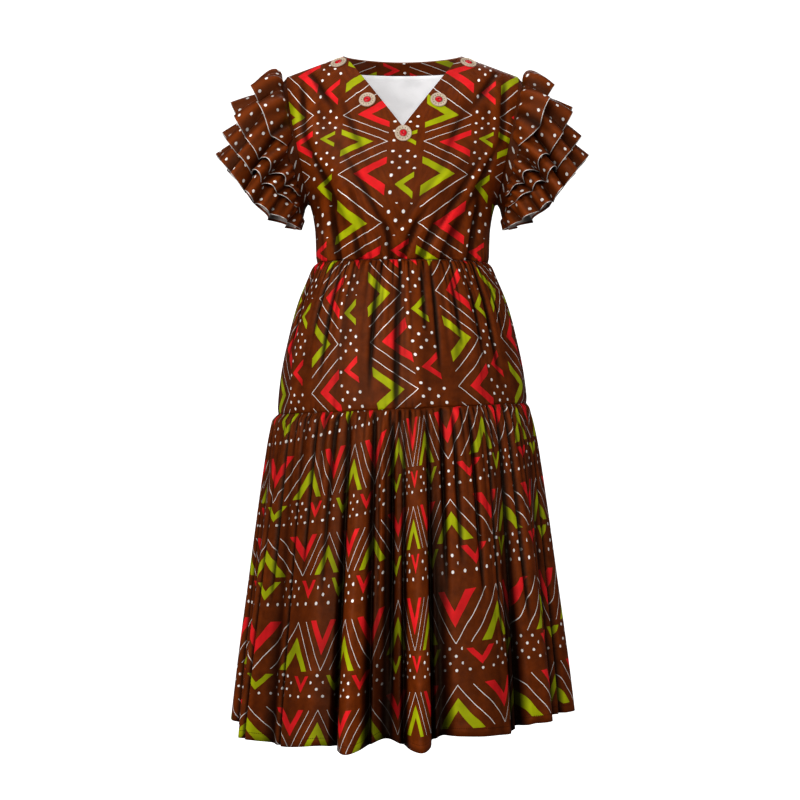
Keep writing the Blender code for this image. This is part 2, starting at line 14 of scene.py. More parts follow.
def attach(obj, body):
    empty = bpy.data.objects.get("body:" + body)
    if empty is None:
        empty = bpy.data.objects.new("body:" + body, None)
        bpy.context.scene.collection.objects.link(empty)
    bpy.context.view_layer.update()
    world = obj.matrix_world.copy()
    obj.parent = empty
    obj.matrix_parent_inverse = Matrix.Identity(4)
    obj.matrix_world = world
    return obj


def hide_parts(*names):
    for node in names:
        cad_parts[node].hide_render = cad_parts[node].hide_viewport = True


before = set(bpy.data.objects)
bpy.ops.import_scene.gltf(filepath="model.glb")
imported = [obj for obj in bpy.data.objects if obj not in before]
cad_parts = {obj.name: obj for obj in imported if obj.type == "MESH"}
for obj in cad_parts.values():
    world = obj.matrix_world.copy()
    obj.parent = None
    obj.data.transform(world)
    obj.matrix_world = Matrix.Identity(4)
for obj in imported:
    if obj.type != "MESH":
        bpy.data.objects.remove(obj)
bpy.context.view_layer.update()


# Camera: level with the middle of the dress and 3.2 m in front of it, so that the sleeves are seen
# a little from below and the skirt a little from above.
bpy.ops.object.select_all(action="DESELECT")
bpy.ops.object.camera_add(location=(-0.0045, -3.2, -0.5917), rotation=(radians(90), 0, 0))
camera = bpy.context.object
camera.data.sensor_width = 36
camera.data.lens = 83.7
camera.data.clip_end = 50
bpy.context.scene.camera = camera


# Printed cotton: a polished brown cloth. In each band of the print red and green chevrons point at
# each other's gaps, each inside one thin white chevron, and dots and small chevrons part the bands.
BROWN = (0.178, 0.0285, 0.0018, 1)
BROWN_DEEP = (0.048, 0.0070, 0.0009, 1)
RED = (0.70, 0.010, 0.014, 1)
GREEN = (0.330, 0.368, 0.0018, 1)
CHALK = (0.86, 0.82, 0.78, 1)
WRONG_SIDE = (0.40, 0.27, 0.20, 1)
SHINE = (1.0, 0.66, 0.44, 1)
PURE_WHITE = (1, 1, 1, 1)
THREAD_STEP, WEAVE_HEIGHT = 0.0011, 0.00006
# In patches as wide as the crumples, the cloth's colour is painted lighter and darker between the two shares
# below: painted light and shade of the crumples.
CRUMPLE_SIZE, CRUMPLE_LIGHT_SIZE = 0.030, 0.030
CRUMPLE_SHADE_DARKEST, CRUMPLE_LIGHT_BRIGHTEST = 0.52, 1.42

# All across a band, from the tips of its left-pointing chevrons. A chevron's arms run REACH across
# in half a repeat.
BAND_WIDTH = 0.070
REACH = 0.102
LINE_HALF, LINE_START = 0.00085, 0.0008
CHEVRON_TIP, CHEVRON_STROKE, CHEVRON_END = 0.023, 0.021, 0.071
GREEN_NEARER = 0.002
SMALL_TIP, SMALL_STROKE, SMALL_END = 0.007, 0.0135, 0.036
DOT_COLUMNS = (0.0, 0.0120, 0.0240, 0.0360)
DOT_STEP, DOT_RADIUS = 0.0230, 0.0025
# Past the first column, dots keep this many half repeats away from a small chevron's middle.
DOTS_KEEP_OFF = 0.36
# The print wanders a little: across the bands in metres, and along them in half repeats.
WANDER_ACROSS, ACROSS_SIZE = 0.0030, 0.030
WANDER_ALONG, ALONG_SIZE = 0.05, 0.041
GROUND_MOTTLE_SIZE = 0.016
STITCH_WIDTH, STITCH_LENGTH, STITCH_STEP, STITCH_DARKNESS = 0.0011, 0.0024, 0.0034, 0.8


class Sums:
    """Short names for a node tree's Math nodes. Arguments are sockets or numbers."""

    def __init__(self, tree):
        self.tree = tree

    def do(self, operation, *values):
        node = self.tree.nodes.new("ShaderNodeMath")
        node.operation = operation
        for socket, value in zip(node.inputs, values):
            if isinstance(value, (int, float)):
                socket.default_value = value
            else:
                self.tree.links.new(value, socket)
        return node.outputs[0]

    def add(self, a, b):
        return self.do("ADD", a, b)

    def less(self, a, b):
        return self.do("SUBTRACT", a, b)

    def times(self, a, b):
        return self.do("MULTIPLY", a, b)

    def size(self, a):
        return self.do("ABSOLUTE", a)

    def rest(self, a, b):
        return self.do("FLOORED_MODULO", a, b)

    def whole_steps(self, a, step):
        return self.do("FLOOR", self.do("DIVIDE", a, step))

    def squares(self, a, b):
        return self.add(self.times(a, a), self.times(b, b))

    def above(self, a, low):
        return self.do("GREATER_THAN", a, low)

    def below(self, a, high):
        return self.do("LESS_THAN", a, high)

    def between(self, a, low, high):
        return self.times(self.above(a, low), self.below(a, high))

    def joined(self, operation, masks):
        total = masks[0]
        for mask in masks[1:]:
            total = self.do(operation, total, mask)
        return total

    def all_of(self, *masks):
        return self.joined("MULTIPLY", masks)

    def any_of(self, *masks):
        return self.joined("MAXIMUM", masks)


def mixed(tree, mask, first, second):
    """Colour first, or colour second where the mask is 1."""
    node = tree.nodes.new("ShaderNodeMix")
    node.data_type = "RGBA"
    tree.links.new(mask, node.inputs["Factor"])
    for name, colour in (("A", first), ("B", second)):
        socket = [each for each in node.inputs if each.name == name and each.type == "RGBA"][0]
        if isinstance(colour, tuple):
            socket.default_value = colour
        else:
            tree.links.new(colour, socket)
    return [each for each in node.outputs if each.type == "RGBA"][0]


def noise(tree, coordinates, size, detail=2.0):
    node = tree.nodes.new("ShaderNodeTexNoise")
    tree.links.new(coordinates, node.inputs["Vector"])
    node.inputs["Scale"].default_value = 1 / size
    node.inputs["Detail"].default_value = detail
    return node.outputs["Fac"]


def map_of(tree, name):
    """A UV map of the piece's own, and its two parts."""
    node = tree.nodes.new("ShaderNodeUVMap")
    node.uv_map = name
    parts = tree.nodes.new("ShaderNodeSeparateXYZ")
    tree.links.new(node.outputs["UV"], parts.inputs[0])
    return node.outputs["UV"], parts.outputs["X"], parts.outputs["Y"]


def new_material(name, roughness):
    """A material, its node tree and its shader."""
    material = bpy.data.materials.new(name)
    material.use_nodes = True
    shader = material.node_tree.nodes["Principled BSDF"]
    shader.inputs["Roughness"].default_value = roughness
    return material, material.node_tree, shader


def emboss(tree, shader, height, distance=1):
    """Raises the look of a surface by height, in units of distance metres."""
    bump = tree.nodes.new("ShaderNodeBump")
    bump.inputs["Strength"].default_value = 1
    bump.inputs["Distance"].default_value = distance
    tree.links.new(height, bump.inputs["Height"])
    tree.links.new(bump.outputs["Normal"], shader.inputs["Normal"])


def cotton(name, colour_of, roughness=0.40, gloss=0.10, crumple=0.0022, painted_glow=0.0):
    """A woven cotton in the colour that colour_of(tree) gives, painted darker where its folds leave less
    light.
    crumple is how high its small creases stand, and glow how much light it gives off itself: painted light,
    for the cloth is no lamp."""
    material, tree, shader = new_material(name, roughness)
    sums = Sums(tree)
    place = tree.nodes.new("ShaderNodeTexCoord").outputs["Object"]
    folded = tree.nodes.new("ShaderNodeAttribute")
    folded.attribute_name = "shade"
    # Painted light and shade of the crumples: patches as wide as the crumples make the colour lighter and
    # darker.
    uneven = sums.times(noise(tree, place, CRUMPLE_LIGHT_SIZE, 4), CRUMPLE_LIGHT_BRIGHTEST - CRUMPLE_SHADE_DARKEST)
    light = sums.times(sums.add(uneven, CRUMPLE_SHADE_DARKEST), folded.outputs["Fac"])
    shade = tree.nodes.new("ShaderNodeHueSaturation")
    tree.links.new(colour_of(tree), shade.inputs["Color"])
    tree.links.new(light, shade.inputs["Value"])
    tree.links.new(shade.outputs["Color"], shader.inputs["Base Color"])
    shader.inputs["Specular IOR Level"].default_value = gloss
    shader.inputs["Specular Tint"].default_value = SHINE
    shader.inputs["Emission Color"].default_value = PURE_WHITE
    shader.inputs["Emission Strength"].default_value = painted_glow
    across, down = map_of(tree, "cloth")[1:]
    threads = sums.add(sums.do("SINE", sums.times(across, 2 * pi / THREAD_STEP)),
                       sums.do("SINE", sums.times(down, 2 * pi / THREAD_STEP)))
    creases = sums.times(noise(tree, place, CRUMPLE_SIZE, 3), crumple)
    emboss(tree, shader, sums.add(sums.times(threads, WEAVE_HEIGHT / 2), creases))
    return material


def chevron_print(gap_start, stretch, pitch=0.137, half_repeat=0.080, small_step=1.2, small_alike=1,
                  small_shift=0.0, dots_along_hem=False, hem_stitch=0, lowest=-9.0):
    """The print as its chart map lays it out: X across the bands, in metres, and Y along them, where
    each half repeat counts 1 and is half_repeat long. Bands come every pitch. stretch is how much larger
    than usual a band's chevrons are, and gap_start is how far past the band its dots begin. A small
    chevron comes every small_step half repeats, moved along by small_shift, and small_alike of them in
    turn have one colour. hem_stitch is how far above the cloth's foot a line of stitches runs, and below
    lowest the cloth has no dots or small chevrons."""

    def colour_of(tree):
        sums = Sums(tree)
        cloth_map, cloth_across, cloth_down = map_of(tree, "cloth")
        over, along = map_of(tree, "chart")[1:]
        sway = sums.less(noise(tree, cloth_map, ACROSS_SIZE, 1), 0.5)
        drift = sums.less(noise(tree, cloth_map, ALONG_SIZE, 1), 0.5)
        over = sums.add(over, sums.times(sway, WANDER_ACROSS))
        along = sums.add(along, sums.times(drift, WANDER_ALONG))

        count = sums.whole_steps(over, pitch)
        aside = sums.less(over, sums.times(count, pitch))
        place = sums.do("DIVIDE", aside, stretch)
        turned = sums.add(along, count)
        from_green = sums.size(sums.less(sums.rest(sums.add(turned, 1), 2), 1))
        from_red = sums.less(1, from_green)
        red_arm = sums.less(place, sums.times(from_red, REACH))
        green_arm = sums.add(place, sums.times(from_green, REACH))
        red = sums.all_of(sums.between(red_arm, CHEVRON_TIP, CHEVRON_TIP + CHEVRON_STROKE),
                          sums.between(place, 0, CHEVRON_END))
        green_tip = BAND_WIDTH - CHEVRON_TIP + GREEN_NEARER
        green = sums.all_of(sums.between(green_arm, green_tip - CHEVRON_STROKE, green_tip),
                            sums.between(place, BAND_WIDTH - CHEVRON_END, BAND_WIDTH))
        red_line = sums.times(sums.between(red_arm, -LINE_HALF, LINE_HALF),
                              sums.below(place, BAND_WIDTH))
        green_line = sums.times(sums.between(green_arm, BAND_WIDTH - LINE_HALF, BAND_WIDTH + LINE_HALF),
                                sums.above(place, LINE_START))

        beyond = sums.less(aside, BAND_WIDTH * stretch + gap_start)
        above_lowest = sums.above(over, lowest)
        small_along = sums.less(along, small_shift)
        small_count = sums.whole_steps(small_along, small_step)
        past_small = sums.less(small_along, sums.times(small_count, small_step))
        from_small = sums.size(sums.less(past_small, small_step / 2))
        small_arm = sums.less(beyond, sums.times(from_small, REACH))
        small = sums.all_of(sums.between(small_arm, SMALL_TIP, SMALL_TIP + SMALL_STROKE),
                            sums.between(beyond, 0, SMALL_END), above_lowest)
        small_turn = sums.whole_steps(sums.add(small_count, small_alike - 1), small_alike)
        small_green = sums.rest(small_turn, 2)

        run = cloth_across if dots_along_hem else sums.times(along, half_repeat)
        dots = []
        for index, column in enumerate(DOT_COLUMNS):
            staggered = sums.rest(sums.add(run, DOT_STEP / 2 * (index % 2)), DOT_STEP)
            squared = sums.squares(sums.less(staggered, DOT_STEP / 2), sums.less(beyond, column))
            dot = sums.times(sums.below(squared, DOT_RADIUS**2), above_lowest)
            dots.append(sums.times(dot, sums.above(from_small, DOTS_KEEP_OFF)) if index else dot)

        ground = mixed(tree, noise(tree, cloth_map, GROUND_MOTTLE_SIZE, 5), BROWN_DEEP, BROWN)
        chalk = mixed(tree, sums.any_of(red_line, green_line, *dots), ground, CHALK)
        greens = sums.any_of(green, sums.times(small, small_green))
        reds = sums.any_of(red, sums.times(small, sums.less(1, small_green)))
        printed = mixed(tree, reds, mixed(tree, greens, chalk, GREEN), RED)
        if not hem_stitch:
            return printed
        stitch = sums.all_of(sums.between(cloth_down, -hem_stitch - STITCH_WIDTH, -hem_stitch),
                             sums.below(sums.rest(cloth_across, STITCH_STEP), STITCH_LENGTH))
        return mixed(tree, sums.times(stitch, STITCH_DARKNESS), printed, BROWN_DEEP)

    return colour_of


def plain_colour(colour, darker=0.25):
    """One colour, mottled with a darker one."""
    def colour_of(tree):
        faint = tuple(channel * (1 - darker) for channel in colour[:3]) + (1,)
        return mixed(tree, noise(tree, map_of(tree, "cloth")[0], 0.018, 4), faint, colour)
    return colour_of


bodice_print = cotton("printed_cotton_bodice", chevron_print(
    0.010, 1.12, half_repeat=0.064, small_step=1.4, small_alike=2, small_shift=-0.25))
wrong_side = cotton("printed_cotton_wrong_side", plain_colour(WRONG_SIDE))
cut_edge = cotton("cotton_edge", plain_colour(BROWN))


# Bodice: a front with a V-neck and a back, cut in the print and joined at shoulders and sides. It is
# drawn in a little at the high waist seam, so fine creases run up from there.
FRONT, BACK = -1, 1
CLOTH = 0.0007
# A seam draws the cloth in and rounds it over, and within SEAM_FLAT of it gathers die away.
SEAM_TUCK, SEAM_ROUNDING, SEAM_FLAT = 0.0016, 0.006, 0.0025
WAIST = -0.357
NECK_HALF_WIDTH = 0.101
V_NECK_DEPTH = 0.138
BACK_NECK_DROP = 0.001
SHOULDER_SLOPE = 0.384
SHOULDER_ROUNDING = 0.040
TOP_HALF_WIDTH = 0.202
NECK_ANGLE = 30

BodiceRing = namedtuple("BodiceRing", "height half_width front back arm_front arm_back")
BODICE = (
    BodiceRing(-0.3570, 0.1485, 0.100, 0.088, 0.000, 0.000),
    BodiceRing(-0.3080, 0.1500, 0.113, 0.092, 0.000, 0.000),
    BodiceRing(-0.2750, 0.1545, 0.122, 0.096, 0.000, 0.000),
    BodiceRing(-0.2580, 0.1590, 0.125, 0.098, 0.000, 0.000),
    BodiceRing(-0.2480, 0.1615, 0.126, 0.099, 0.030, 0.028),
    BodiceRing(-0.2300, 0.1650, 0.127, 0.100, 0.050, 0.048),
    BodiceRing(-0.2000, 0.1705, 0.127, 0.102, 0.062, 0.062),
    BodiceRing(-0.1600, 0.1790, 0.121, 0.103, 0.066, 0.070),
    BodiceRing(-0.1200, 0.1870, 0.111, 0.104, 0.066, 0.072),
    BodiceRing(-0.0800, 0.1940, 0.103, 0.104, 0.063, 0.070),
    BodiceRing(-0.0400, 0.1990, 0.100, 0.104, 0.060, 0.068),
    BodiceRing(0.0000, 0.2020, 0.100, 0.104, 0.058, 0.066),
)
ShoulderCurve = namedtuple("ShoulderCurve", "start roundness")
SHOULDER_CURVE = {FRONT: ShoulderCurve(-0.135, 1.5), BACK: ShoulderCurve(-0.090, 1.6)}

# The heights where the bodice's rows of chevrons have their tips, one half repeat apart.
PrintRow = namedtuple("PrintRow", "height count")
BODICE_PRINT_ROWS = (
    PrintRow(0.0400, -2.0), PrintRow(-0.0100, -0.6), PrintRow(-0.0380, 0), PrintRow(-0.1158, 1),
    PrintRow(-0.1630, 2), PrintRow(-0.2165, 3), PrintRow(-0.2975, 4), PrintRow(-0.3657, 5),
)
BODICE_BAND_LEAN, BODICE_LEAN_FROM = 0.075, -0.2165
# Where the bands of the print fall across the bodice, at the height of its largest chevrons.
PrintColumn = namedtuple("PrintColumn", "x over")
BODICE_PRINT_COLUMNS = (
    PrintColumn(-0.2300, -0.1700), PrintColumn(-0.1560, -0.0586), PrintColumn(-0.1067, 0),
    PrintColumn(-0.0290, 0.0784), PrintColumn(0.0312, 0.1370), PrintColumn(0.1080, 0.2154),
    PrintColumn(0.1560, 0.2740), PrintColumn(0.2300, 0.3700),
)

# A crease stands out round the line through (x, z). lean is how far that line moves aside per metre
# up, and reach how far it runs each way.
Crease = namedtuple("Crease", "x z lean out spread reach")
FRONT_CREASES = (
    Crease(0.004, -0.345, 0.35, -0.0045, 0.0045, 0.045),
    Crease(0.020, -0.335, 0.45, 0.0035, 0.0060, 0.055),
    Crease(0.036, -0.340, 0.40, -0.0038, 0.0045, 0.050),
    Crease(0.056, -0.335, 0.50, 0.0030, 0.0060, 0.050),
    Crease(-0.020, -0.348, -0.15, -0.0030, 0.0045, 0.040),
    Crease(-0.048, -0.340, -0.20, 0.0025, 0.0060, 0.045),
    Crease(-0.075, -0.345, -0.15, -0.0030, 0.0050, 0.040),
    Crease(0.072, -0.342, 0.35, -0.0036, 0.0050, 0.048),
    Crease(0.100, -0.335, 0.20, 0.0030, 0.0070, 0.060),
    Crease(0.118, -0.320, 0.15, -0.0045, 0.0055, 0.070),
    Crease(-0.112, -0.325, -0.12, -0.0038, 0.0055, 0.065),
    Crease(-0.128, -0.310, -0.10, 0.0030, 0.0060, 0.070),
    Crease(0.090, -0.255, 0.60, -0.0028, 0.0070, 0.060),
    Crease(0.050, -0.245, 0.75, 0.0026, 0.0090, 0.070),
    Crease(-0.060, -0.250, -0.55, -0.0024, 0.0080, 0.065),
    Crease(-0.094, -0.262, -0.35, 0.0024, 0.0080, 0.050),
    Crease(0.170, -0.105, 0.05, -0.0035, 0.0070, 0.050),
    Crease(0.155, -0.120, 0.05, 0.0025, 0.0080, 0.055),
    Crease(-0.168, -0.110, -0.05, -0.0030, 0.0070, 0.050),
    Crease(-0.150, -0.125, -0.08, 0.0022, 0.0080, 0.055),
    Crease(-0.085, -0.135, -0.40, -0.0018, 0.0090, 0.050),
    Crease(0.088, -0.140, 0.40, -0.0018, 0.0090, 0.050),
    Crease(0.135, -0.215, 0.45, -0.0034, 0.0070, 0.060),
    Crease(0.118, -0.228, 0.55, 0.0026, 0.0070, 0.050),
    Crease(-0.135, -0.215, -0.45, -0.0030, 0.0070, 0.060),
    Crease(-0.142, -0.060, -0.60, -0.0022, 0.0070, 0.045),
    Crease(0.146, -0.055, 0.60, -0.0024, 0.0070, 0.045),
)
BACK_CREASES = (
    Crease(0.010, -0.340, 0.10, -0.0035, 0.0050, 0.050),
    Crease(0.045, -0.345, 0.20, 0.0028, 0.0060, 0.045),
    Crease(-0.035, -0.342, -0.15, -0.0030, 0.0050, 0.048),
    Crease(-0.080, -0.338, -0.20, -0.0030, 0.0060, 0.055),
    Crease(0.090, -0.338, 0.22, -0.0032, 0.0060, 0.055),
    Crease(0.120, -0.315, 0.15, 0.0030, 0.0070, 0.070),
    Crease(-0.118, -0.318, -0.12, 0.0030, 0.0070, 0.070),
    Crease(0.060, -0.200, 0.50, -0.0022, 0.0100, 0.070),
    Crease(-0.065, -0.195, -0.50, -0.0022, 0.0100, 0.070),
    Crease(0.110, -0.240, 0.60, -0.0026, 0.0080, 0.060),
    Crease(-0.105, -0.250, -0.55, -0.0024, 0.0080, 0.055),
    Crease(0.150, -0.120, 0.05, -0.0028, 0.0080, 0.055),
    Crease(-0.150, -0.125, -0.05, -0.0028, 0.0080, 0.055),
)

# The fine gathers that the waist seam leaves in the bodice. They drift along it, so none is regular.
WAIST_GATHER_HEIGHT, WAIST_GATHER_STEP, WAIST_GATHER_FADE = 0.0014, 0.0125, 0.016
WAIST_GATHER_DRIFT, WAIST_GATHER_DRIFT_RATE = 2.4, 44
BODICE_DROP, ROW_CROWDING = 0.30, 1.1
# Over this share of a piece, from its edge, folds and creases grow to their full height.
EDGE_FADE = 0.05

# A hollow as deep as depth, between places that many columns away, loses that share of its light.
ShadeScale = namedtuple("ShadeScale", "columns depth share")
# A ridge gains this much of what a hollow of its size would lose.
RIDGE_LIGHT = 0.30
BODICE_LIGHT = 1.10
BODICE_SHADES = (ShadeScale(4, 0.0014, 0.65), ShadeScale(8, 0.0026, 0.45))


def smooth_curve(xs, ys, x):
    """ys at x, on a curve through the points that never overshoots them."""
    xs, ys, x = (np.asarray(values, float) for values in (xs, ys, x))
    steps = np.diff(xs)
    rises = np.diff(ys) / steps
    product = rises[:-1] * rises[1:]
    total = rises[:-1] + rises[1:]
    inner = np.where(product > 0, 2 * product / np.where(total == 0, 1, total), 0)
    slopes = np.concatenate([[rises[0]], inner, [rises[-1]]])
    place = np.clip(np.searchsorted(xs, x) - 1, 0, len(steps) - 1)
    share = np.clip((x - xs[place]) / steps[place], 0, 1)
    low, high = ys[place], ys[place + 1]
    level = (1 + 2 * share) * (1 - share) ** 2 * low + share**2 * (3 - 2 * share) * high
    bend_low = share * (1 - share) ** 2 * steps[place] * slopes[place]
    bend_high = share**2 * (share - 1) * steps[place] * slopes[place + 1]
    return level + bend_low + bend_high


def column_at(table, column, key, value):
    """One column of a table at a value of its key column."""
    rows = sorted(table, key=lambda row: getattr(row, key))
    keys, levels = ([getattr(row, each) for row in rows] for each in (key, column))
    return smooth_curve(keys, levels, value)


def unit(vectors):
    return vectors / np.maximum(np.linalg.norm(vectors, axis=-1, keepdims=True), 1e-12)


def hump(distance, width):
    """1 at distance 0, and next to nothing past twice the width."""
    return np.exp(-((distance / width) ** 2))


def square_to(grid, closed=False):
    """A vector square to the cloth at each point of a grid, on one side of it all over."""
    if closed:
        across = np.roll(grid, -1, axis=1) - np.roll(grid, 1, axis=1)
    else:
        across = np.gradient(grid, axis=1)
    return np.cross(np.gradient(grid, axis=0), across)


def normals_of(grid, anchor, closed=False):
    """The normals of a grid of points, turned away from an anchor point inside it."""
    normals = unit(square_to(grid, closed))
    return normals * np.sign(np.sum(normals * (grid - np.array(anchor))))


def run_along(grid, axis):
    """The distance along a grid's rows or columns, from its first point."""
    steps = np.linalg.norm(np.diff(grid, axis=axis), axis=-1)
    start = np.zeros_like(np.take(steps, [0], axis=axis))
    return np.concatenate([start, np.cumsum(steps, axis=axis)], axis=axis)


def add_object(name, mesh):
    piece = bpy.data.objects.new(name, mesh)
    bpy.context.scene.collection.objects.link(piece)
    return piece


def hang_cloth(name, grid, measure, chart, anchor, faces, closed=False, thickness=CLOTH, shade=1.0):
    """A thin shell on a grid of points, with its outer face turned away from the anchor. measure is the
    cloth's own across and down, in metres, and chart its place on the print. faces are the materials of
    the outer face, the inner face and the edges. shade is how much light its folds leave on the cloth."""
    rows, columns = grid.shape[:2]
    spans = columns if closed else columns - 1
    row, column = np.meshgrid(np.arange(rows - 1), np.arange(spans), indexing="ij")
    beside = (column + 1) % columns
    quads = np.stack([row * columns + column, (row + 1) * columns + column,
                      (row + 1) * columns + beside, row * columns + beside], axis=-1).reshape(-1, 4)
    corners = [(row, column), (row + 1, column), (row + 1, column + 1), (row, column + 1)]
    turned = np.sum(square_to(grid, closed) * (grid - np.array(anchor))) < 0
    if turned:
        quads = quads[:, ::-1]
    mesh = bpy.data.meshes.new(name)
    mesh.from_pydata(grid.reshape(-1, 3).tolist(), [], quads.tolist())
    for map_name, (first, second) in (("cloth", measure), ("chart", chart)):
        first, second = (np.broadcast_to(values, (rows, spans + 1)) for values in (first, second))
        places = np.stack([np.stack([first[at], second[at]], axis=-1) for at in corners], axis=2)
        places = places.reshape(-1, 4, 2)
        if turned:
            places = places[:, ::-1]
        mesh.uv_layers.new(name=map_name).data.foreach_set("uv", places.reshape(-1))
    light_left = np.array(np.broadcast_to(shade, (rows, columns)), np.float32).reshape(-1)
    mesh.attributes.new("shade", "FLOAT", "POINT").data.foreach_set("value", light_left)
    mesh.update()
    for material in faces:
        mesh.materials.append(material)
    piece = add_object(name, mesh)
    bpy.ops.object.select_all(action="DESELECT")
    bpy.context.view_layer.objects.active = piece
    piece.select_set(True)
    wall = piece.modifiers.new("wall", "SOLIDIFY")
    wall.thickness = thickness
    wall.offset = -1
    wall.material_offset = 1
    wall.material_offset_rim = 2
    bpy.ops.object.modifier_apply(modifier="wall")
    bpy.ops.object.shade_smooth()
    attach(piece, "root")
    return piece


def shade_in(lift, scales):
    """How much light is left where the cloth lies lower or higher than beside it."""
    total = np.ones_like(lift)
    for scale in scales:
        beside = (np.roll(lift, scale.columns, axis=1) + np.roll(lift, -scale.columns, axis=1)) / 2
        hollow = np.clip((beside - lift) / scale.depth, -1, 1)
        dimmed, lit = np.maximum(hollow, 0), RIDGE_LIGHT * np.maximum(-hollow, 0)
        total = total * (1 - scale.share * dimmed + scale.share * lit)
    return total


def shoulder_height(x):
    reach = sqrt(NECK_HALF_WIDTH**2 + SHOULDER_ROUNDING**2)
    return SHOULDER_SLOPE * (reach - np.hypot(x, SHOULDER_ROUNDING))


def bodice_point(side, across, height):
    """A point on the bodice. across runs from -1 to 1 between its two side edges."""
    half_width = column_at(BODICE, "half_width", "height", height)
    depth = column_at(BODICE, "front" if side == FRONT else "back", "height", height)
    edge = column_at(BODICE, "arm_front" if side == FRONT else "arm_back", "height", height)
    x = half_width * across
    whole_width = half_width / np.sqrt(1 - (edge / depth) ** 2)
    fullness = np.sqrt(np.maximum(1 - (x / whole_width) ** 2, 0))
    curve = SHOULDER_CURVE[side]
    climb = np.clip((height - curve.start) / (shoulder_height(x) - curve.start), 0, 1)
    over = (1 - climb**curve.roundness) ** (1 / curve.roundness)
    return np.stack([x, side * depth * fullness * over, height + 0 * x], axis=-1)


def top_height(side, across):
    height = 0.0
    for _ in range(12):
        x = abs(float(column_at(BODICE, "half_width", "height", height)) * across)
        if abs(across) >= NECK_HALF_WIDTH / TOP_HALF_WIDTH - 1e-6:
            height = float(shoulder_height(x))
        elif side == FRONT:
            height = -V_NECK_DEPTH * (1 - x / NECK_HALF_WIDTH)
        else:
            height = -BACK_NECK_DROP * (1 - (x / NECK_HALF_WIDTH) ** 2)
    return height


def bodice_grid(side, rows=110, neck_columns=26, side_columns=50):
    """Rows run down from the neckline and shoulder seam to the waist seam, columns from -X to +X."""
    angles = np.concatenate([np.linspace(0, NECK_ANGLE, neck_columns + 1),
                             np.linspace(NECK_ANGLE, 90, side_columns + 1)[1:]])
    angles = np.concatenate([-angles[:0:-1], angles])
    shares = np.linspace(0, 1, rows + 1) ** ROW_CROWDING
    columns = []
    for angle in angles:
        across = sin(radians(angle))
        top = top_height(side, across)
        columns.append(bodice_point(side, across, top + (WAIST - top) * shares))
    return np.stack(columns, axis=1), shares


def crease_lift(creases, x, z):
    """How far the creases lift the cloth together."""
    total = np.zeros_like(x)
    for crease in creases:
        along = (z - crease.z) / crease.reach
        aside = (x - crease.x - (z - crease.z) * crease.lean) / crease.spread
        total += crease.out * np.exp(-along**2 - aside**2)
    return total


BODICE_MIDDLE = (0, 0, -0.20)
bodice_cloth = {}
for side, name, node, creases in ((FRONT, "front_bodice", "bodice_front", FRONT_CREASES),
                                  (BACK, "back_bodice", "bodice_back", BACK_CREASES)):
    grid, shares = bodice_grid(side)
    normals = normals_of(grid, BODICE_MIDDLE)
    middle = grid.shape[1] // 2
    run = run_along(grid, 1)
    across = run - run[:, middle:middle + 1]
    down = run_along(grid, 0)
    from_waist = (1 - shares)[:, None] * BODICE_DROP
    drift = WAIST_GATHER_DRIFT * np.sin(across * WAIST_GATHER_DRIFT_RATE)
    gathers = WAIST_GATHER_HEIGHT * np.cos(across * 2 * pi / WAIST_GATHER_STEP + drift)
    gathers = gathers * np.exp(-from_waist / WAIST_GATHER_FADE) * (1 - hump(from_waist, SEAM_FLAT))
    from_side = 1 - np.abs(grid[:, :, 0]) / np.max(np.abs(grid[:, :, 0]), axis=1, keepdims=True)
    lift = crease_lift(creases, grid[:, :, 0], grid[:, :, 2])
    lift = lift * np.minimum(shares / EDGE_FADE, 1)[:, None] + gathers
    lift = lift * np.minimum(from_side / EDGE_FADE, 1) - SEAM_TUCK * hump(from_waist, SEAM_ROUNDING)
    shape = grid + normals * lift[:, :, None]
    rows_at = column_at(BODICE_PRINT_ROWS, "count", "height", grid[:, :, 2]) + (0 if side == FRONT else 1)
    sideways = grid[:, :, 0] * side * FRONT
    upright = sideways - BODICE_BAND_LEAN * (grid[:, :, 2] - BODICE_LEAN_FROM)
    over = column_at(BODICE_PRINT_COLUMNS, "over", "x", upright)
    panel = hang_cloth(name, shape, (across, down), (over, rows_at), BODICE_MIDDLE,
                       (bodice_print, wrong_side, cut_edge),
                       shade=BODICE_LIGHT * shade_in(lift, BODICE_SHADES))
    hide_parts(node)
    bodice_cloth[side] = (shape, normals, shares, across, down, over, rows_at)


# Back lining and neck facing: white lining inside the back, and above it a facing of the print that
# turns in from the back neckline. Both are sewn to the back along the neck.
WHITE = (0.93, 0.93, 0.95, 1)
LAYER_GAP = 0.0012
FACING_SHARE = 0.05
FACING_THICKNESS, LINING_THICKNESS = 0.0006, 0.0004
LINING_BEHIND = 0.0003
# The lining stops this many rows above the waist seam and columns in from the sides, so that none of
# it shows through the seams.
LINING_ROWS_SHORT, LINING_COLUMNS_SHORT = 8, 4
# The lining gives off a little light of its own: painted light, so that it looks as bright as well-lit white
# cloth inside the back.
white_lining = cotton("white_lining", plain_colour(WHITE, 0.04), roughness=0.7, gloss=0.2,
                      crumple=0.0010, painted_glow=0.26)

shape, normals, shares, across, down, over, rows_at = bodice_cloth[BACK]
laid = shape - normals * (CLOTH + LAYER_GAP)
facing_rows = int(np.searchsorted(shares, FACING_SHARE))
neck = np.flatnonzero(np.abs(shape[0, :, 0]) <= NECK_HALF_WIDTH + 1e-4)
held = (slice(0, facing_rows + 1), slice(neck[0], neck[-1] + 1))
facing = hang_cloth("back_neck_facing", laid[held], (across[held], down[held]), (over[held], rows_at[held]),
                    BODICE_MIDDLE, (wrong_side, bodice_print, cut_edge), thickness=FACING_THICKNESS)
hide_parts("neck_facing_back")
held = (slice(facing_rows, -LINING_ROWS_SHORT, 2), slice(LINING_COLUMNS_SHORT, -LINING_COLUMNS_SHORT, 2))
lining = hang_cloth("back_lining", (laid - normals * LINING_BEHIND)[held], (across[held], down[held]),
                    (over[held], rows_at[held]), BODICE_MIDDLE, (white_lining, white_lining, white_lining),
                    thickness=LINING_THICKNESS)
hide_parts("bodice_lining_back")


